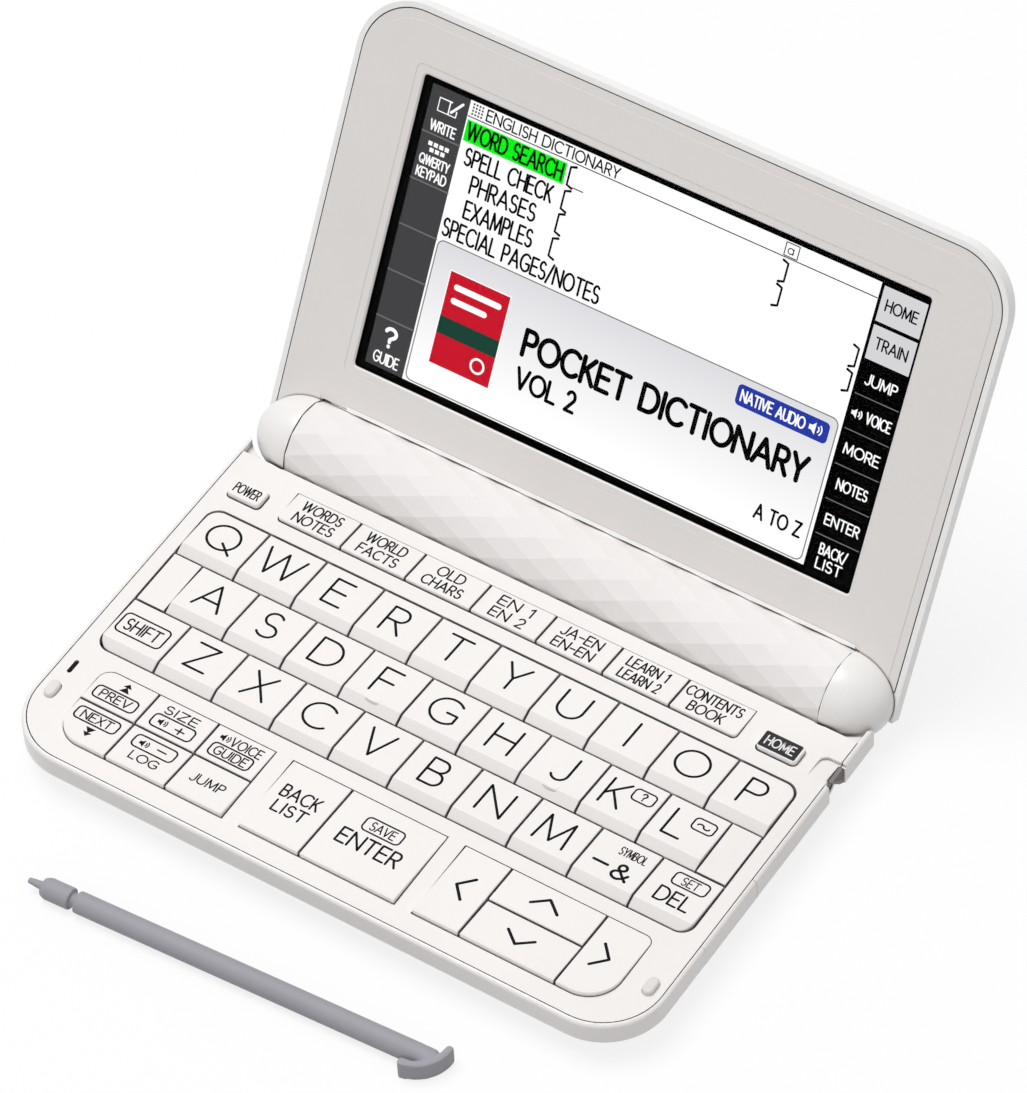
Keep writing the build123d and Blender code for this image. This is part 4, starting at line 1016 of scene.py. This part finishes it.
# ---------------------------------------------------------------- display
# The picture of a lit colour display behind the touch panel: a menu, a tool strip down each side and
# a title card.  It lies in thin layers on the front of the display module.
module_level = max((to_lid @ v.co).z for v in nodes["lcd_module"].data.vertices) / mm
layer_height, layer_step = 0.006, 0.011


def lit(name, colour):
    """Glowing part of the display's picture."""
    material = bpy.data.materials.new(name)
    material.use_nodes = True
    shader = material.node_tree.nodes["Principled BSDF"]
    shader.inputs["Base Color"].default_value = (0, 0, 0, 1)
    shader.inputs["Roughness"].default_value = 1.0
    shader.inputs["Specular IOR Level"].default_value = 0.0
    shader.inputs["Emission Color"].default_value = colour
    shader.inputs["Emission Strength"].default_value = 1.0
    return material


def shown(name, layer, marks, glow):
    """Puts marks on the display; each layer lies a hair in front of the one before."""
    piece = drawn(f"picture_{name}", marks, glow, layer_height)
    level = module_level + layer_height + layer_step * layer
    piece.data.transform(lid_place @ Matrix.Translation((0, 0, level * mm)))
    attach(piece, "lid")


def block(left, right, bottom, top):
    """Filled rectangle."""
    return [[(left, bottom), (right, bottom), (right, top), (left, top)]]


white_glow = lit("white_glow", srgb(255, 255, 255))
black_glow = lit("black_glow", srgb(4, 4, 5))
column_glow = lit("column_glow", srgb(66, 66, 68))
rule_glow = lit("rule_glow", srgb(112, 112, 114))
green_glow = lit("green_glow", srgb(10, 240, 20))
red_glow = lit("red_glow", srgb(200, 22, 42))
deep_green_glow = lit("deep_green_glow", srgb(24, 66, 52))
blue_glow = lit("blue_glow", srgb(38, 58, 165))
button_glow = lit("button_glow", srgb(214, 214, 216))

shown("page", 0, [(0, block(-47.8, 47.1, 20.2, 82.2))], white_glow)
shown("tool_strip", 0, [(0, block(-56.8, -47.8, 20.2, 82.2))], column_glow)
strip_rules = [[(-56.8, s), (-47.8, s)] for s in (72.0, 61.6, 51.4, 41.2, 30.9)]
shown("strip_rules", 1, [(0.3, strip_rules)], rule_glow)
card = rounded(-47.25, 46.3, 20.6, 51.8, 1.5)
card_glow = lit("card_glow", srgb(255, 255, 255))
shown("card", 1, [(0, [card])], card_glow)
tree = card_glow.node_tree
where = tree.nodes.new("ShaderNodeTexCoord")
split = tree.nodes.new("ShaderNodeSeparateXYZ")
spread = tree.nodes.new("ShaderNodeMapRange")
spread.inputs["From Min"].default_value = hinge_axis.z + 24 * mm * sin(lid_slope)
spread.inputs["From Max"].default_value = hinge_axis.z + 50 * mm * sin(lid_slope)
shade = tree.nodes.new("ShaderNodeMix")
shade.data_type = "RGBA"
shade.inputs["A"].default_value = srgb(255, 255, 255)
shade.inputs["B"].default_value = srgb(222, 222, 226)
tree.links.new(where.outputs["Object"], split.inputs["Vector"])
tree.links.new(split.outputs["Z"], spread.inputs["Value"])
tree.links.new(spread.outputs["Result"], shade.inputs["Factor"])
tree.links.new(shade.outputs["Result"], tree.nodes["Principled BSDF"].inputs["Emission Color"])
shown("card_edge", 2, [(0.25, pill(-47.25, 46.3, 20.6, 51.8, 1.5))], lit("edge_glow", srgb(120, 120, 124)))
shown("bar", 1, [(0, block(-47.5, -23.9, 73.5, 78.1))], green_glow)
shown("buttons", 1, [(0, block(47.8, 57.6, 74.3, 81.8) + block(47.8, 57.6, 66.2, 73.5))], button_glow)
side_rules = [[(47.8, s), (57.6, s)] for s in (58.6, 50.9, 43.2, 35.5, 27.8)]
shown("side_rules", 1, [(0.2, side_rules)], rule_glow)
shown("cover_edge", 2, [(0, block(-43.15, -28.5, 25.95, 46.75))], white_glow)
shown("cover", 3, [(0, block(-42.9, -28.75, 26.2, 46.5))], red_glow)
shown("cover_band", 4, [(0, block(-42.9, -28.75, 32.9, 36.7))], deep_green_glow)
cover_lines = [[(-40.8, 43.6), (-30.8, 43.6)], [(-40.8, 40.6), (-33.5, 40.6)]]
cover_ring = [arc(-32.2, 29.6, 1.5, 1.5, 0, 360)]
shown("cover_marks", 5, [(1.3, cover_lines), (0.5, cover_ring)], white_glow)
shown("badge", 2, [(0, [rounded(23.8, 44.8, 45.75, 50.3, 1.0)])], blue_glow)
badge_waves, badge_horn = speaker_mark(40.4, 46.6, 2.9)
badge_words = words("NATIVE AUDIO", 24.9, 39.4, 46.9, 49.2)
shown("badge_words", 3, [(0.38, badge_words), (0.3, badge_waves), (0, badge_horn)], white_glow)

menu = words("SPELL CHECK", -46.0, -25.6, 68.9, 72.4)
menu += words("PHRASES", -43.3, -28.1, 63.6, 67.2) + words("EXAMPLES", -43.3, -27.4, 58.2, 61.8)
menu += words("SPECIAL PAGES/NOTES", -47.0, -10.2, 53.0, 56.6)
title = words("ENGLISH DICTIONARY", -43.5, -12.5, 79.4, 81.7)
green_words = words("WORD SEARCH", -46.8, -24.6, 74.2, 77.6)
brackets = []
for top in (78.1, 72.9, 67.8, 62.5):
    brackets.append([(-21.8, top), (-23.0, top - 0.4), (-23.0, top - 4.2), (-21.8, top - 4.6)])
for top, right in ((78.1, 27.3), (72.9, 27.3), (67.8, 46.3), (62.5, 46.3)):
    inner, outer = right - 1.3, right - 0.1
    brackets.append([(inner, top), (outer, top - 0.4), (outer, top - 4.2), (inner, top - 4.6)])
rules = [[(-47.6, 78.8), (47.0, 78.8)], [(-21.6, 73.75), (-19.2, 73.75)]]
grid = []
for x in (-47.0, -46.3, -45.6, -44.9):
    for s in (79.3, 80.0, 80.7, 81.4):
        grid += block(x, x + 0.4, s, s + 0.4)
marker = pill(25.7, 28.7, 79.1, 81.9, 0.1)
marker += [arc(27.0, 80.3, 0.6, 0.6, 0, 360), [(27.6, 80.9), (27.6, 79.7)]]
big_words = words("POCKET DICTIONARY", -23.3, 42.3, 36.2, 41.6)
volume = words("VOL 2", -23.1, -9.4, 29.1, 33.3)
corner_words = words("A TO Z", 34.2, 44.6, 25.2, 28.2)
shown(
    "black_print",
    6,
    [
        (0.5, menu + green_words),
        (0.34, title),
        (0.55, brackets),
        (0.22, rules + marker),
        (0, grid),
        (1.05, big_words),
        (0.75, volume),
        (0.5, corner_words),
        (0.36, words("HOME", 49.2, 56.2, 77.0, 79.3) + words("TRAIN", 49.2, 56.2, 68.9, 71.2)),
    ],
    black_glow,
)
side_words = words("JUMP", 49.2, 56.2, 61.2, 63.4) + words("VOICE", 51.6, 57.0, 53.6, 55.8)
side_words += words("MORE", 48.8, 56.6, 45.9, 48.1) + words("NOTES", 49.4, 56.2, 38.2, 40.4)
side_words += words("ENTER", 49.0, 56.6, 30.3, 32.5) + words("BACK/", 49.6, 55.6, 24.0, 26.2)
side_words += words("LIST", 49.6, 55.2, 20.9, 23.1)
voice_waves, voice_horn = speaker_mark(48.2, 53.5, 2.3)
strip_words = words("WRITE", -55.2, -49.4, 72.9, 75.0) + words("QWERTY", -55.8, -48.9, 65.5, 67.4)
strip_words += words("KEYPAD", -55.8, -48.9, 62.6, 64.6) + words("GUIDE", -55.2, -49.4, 21.3, 23.6)
tablet = [[(-51.6, 80.0), (-54.5, 80.0), (-54.5, 77.2), (-50.2, 77.2), (-50.2, 78.4)]]
tablet += lines((-52.0, 80.0, -52.0, 77.2))
quill = [[(-51.4, 77.9), (-49.2, 80.5)]]
squares = [block(x, x + 0.95, 69.6, 70.5)[0] for x in (-54.7, -53.4, -52.1, -50.8)]
squares += [block(x, x + 0.95, 68.3, 69.2)[0] for x in (-54.1, -52.8, -51.5)]
shown(
    "white_print",
    6,
    [
        (0.34, side_words + strip_words),
        (0.3, tablet + voice_waves),
        (0.55, quill),
        (0.8, words("?", -53.7, -51.3, 25.2, 29.2)),
        (0, squares + voice_horn),
    ],
    white_glow,
)


# ---------------------------------------------------------------- stylus
# One moulding of mid grey plastic with a fine satin texture, with all its edges rounded and its
# hooked head rounded most.  It lies in front of the base.
stylus_grey = moulded(
    "stylus_grey", srgb(163, 162, 170), srgb(155, 154, 162), 0.55, 0.0, 0.25, 0.01 * mm, shine=0.3
)
stylus = dressed("stylus", stylus_grey, edge=0)
remesh = stylus.modifiers.new("one_skin", "REMESH")
remesh.mode = "VOXEL"
remesh.voxel_size = 0.2 * mm
plain(stylus)
skin = bmesh.new()
skin.from_mesh(stylus.data)
head_start = 37.6 * mm
head = [v for v in skin.verts if v.co.x > head_start]
for group, rounds in ((skin.verts[:], 2), (head, 22)):
    for _ in range(rounds):
        bmesh.ops.smooth_vert(
            skin, verts=group, factor=0.5, use_axis_x=True, use_axis_y=True, use_axis_z=True
        )
for face in skin.faces:
    face.smooth = True
skin.to_mesh(stylus.data)
skin.free()
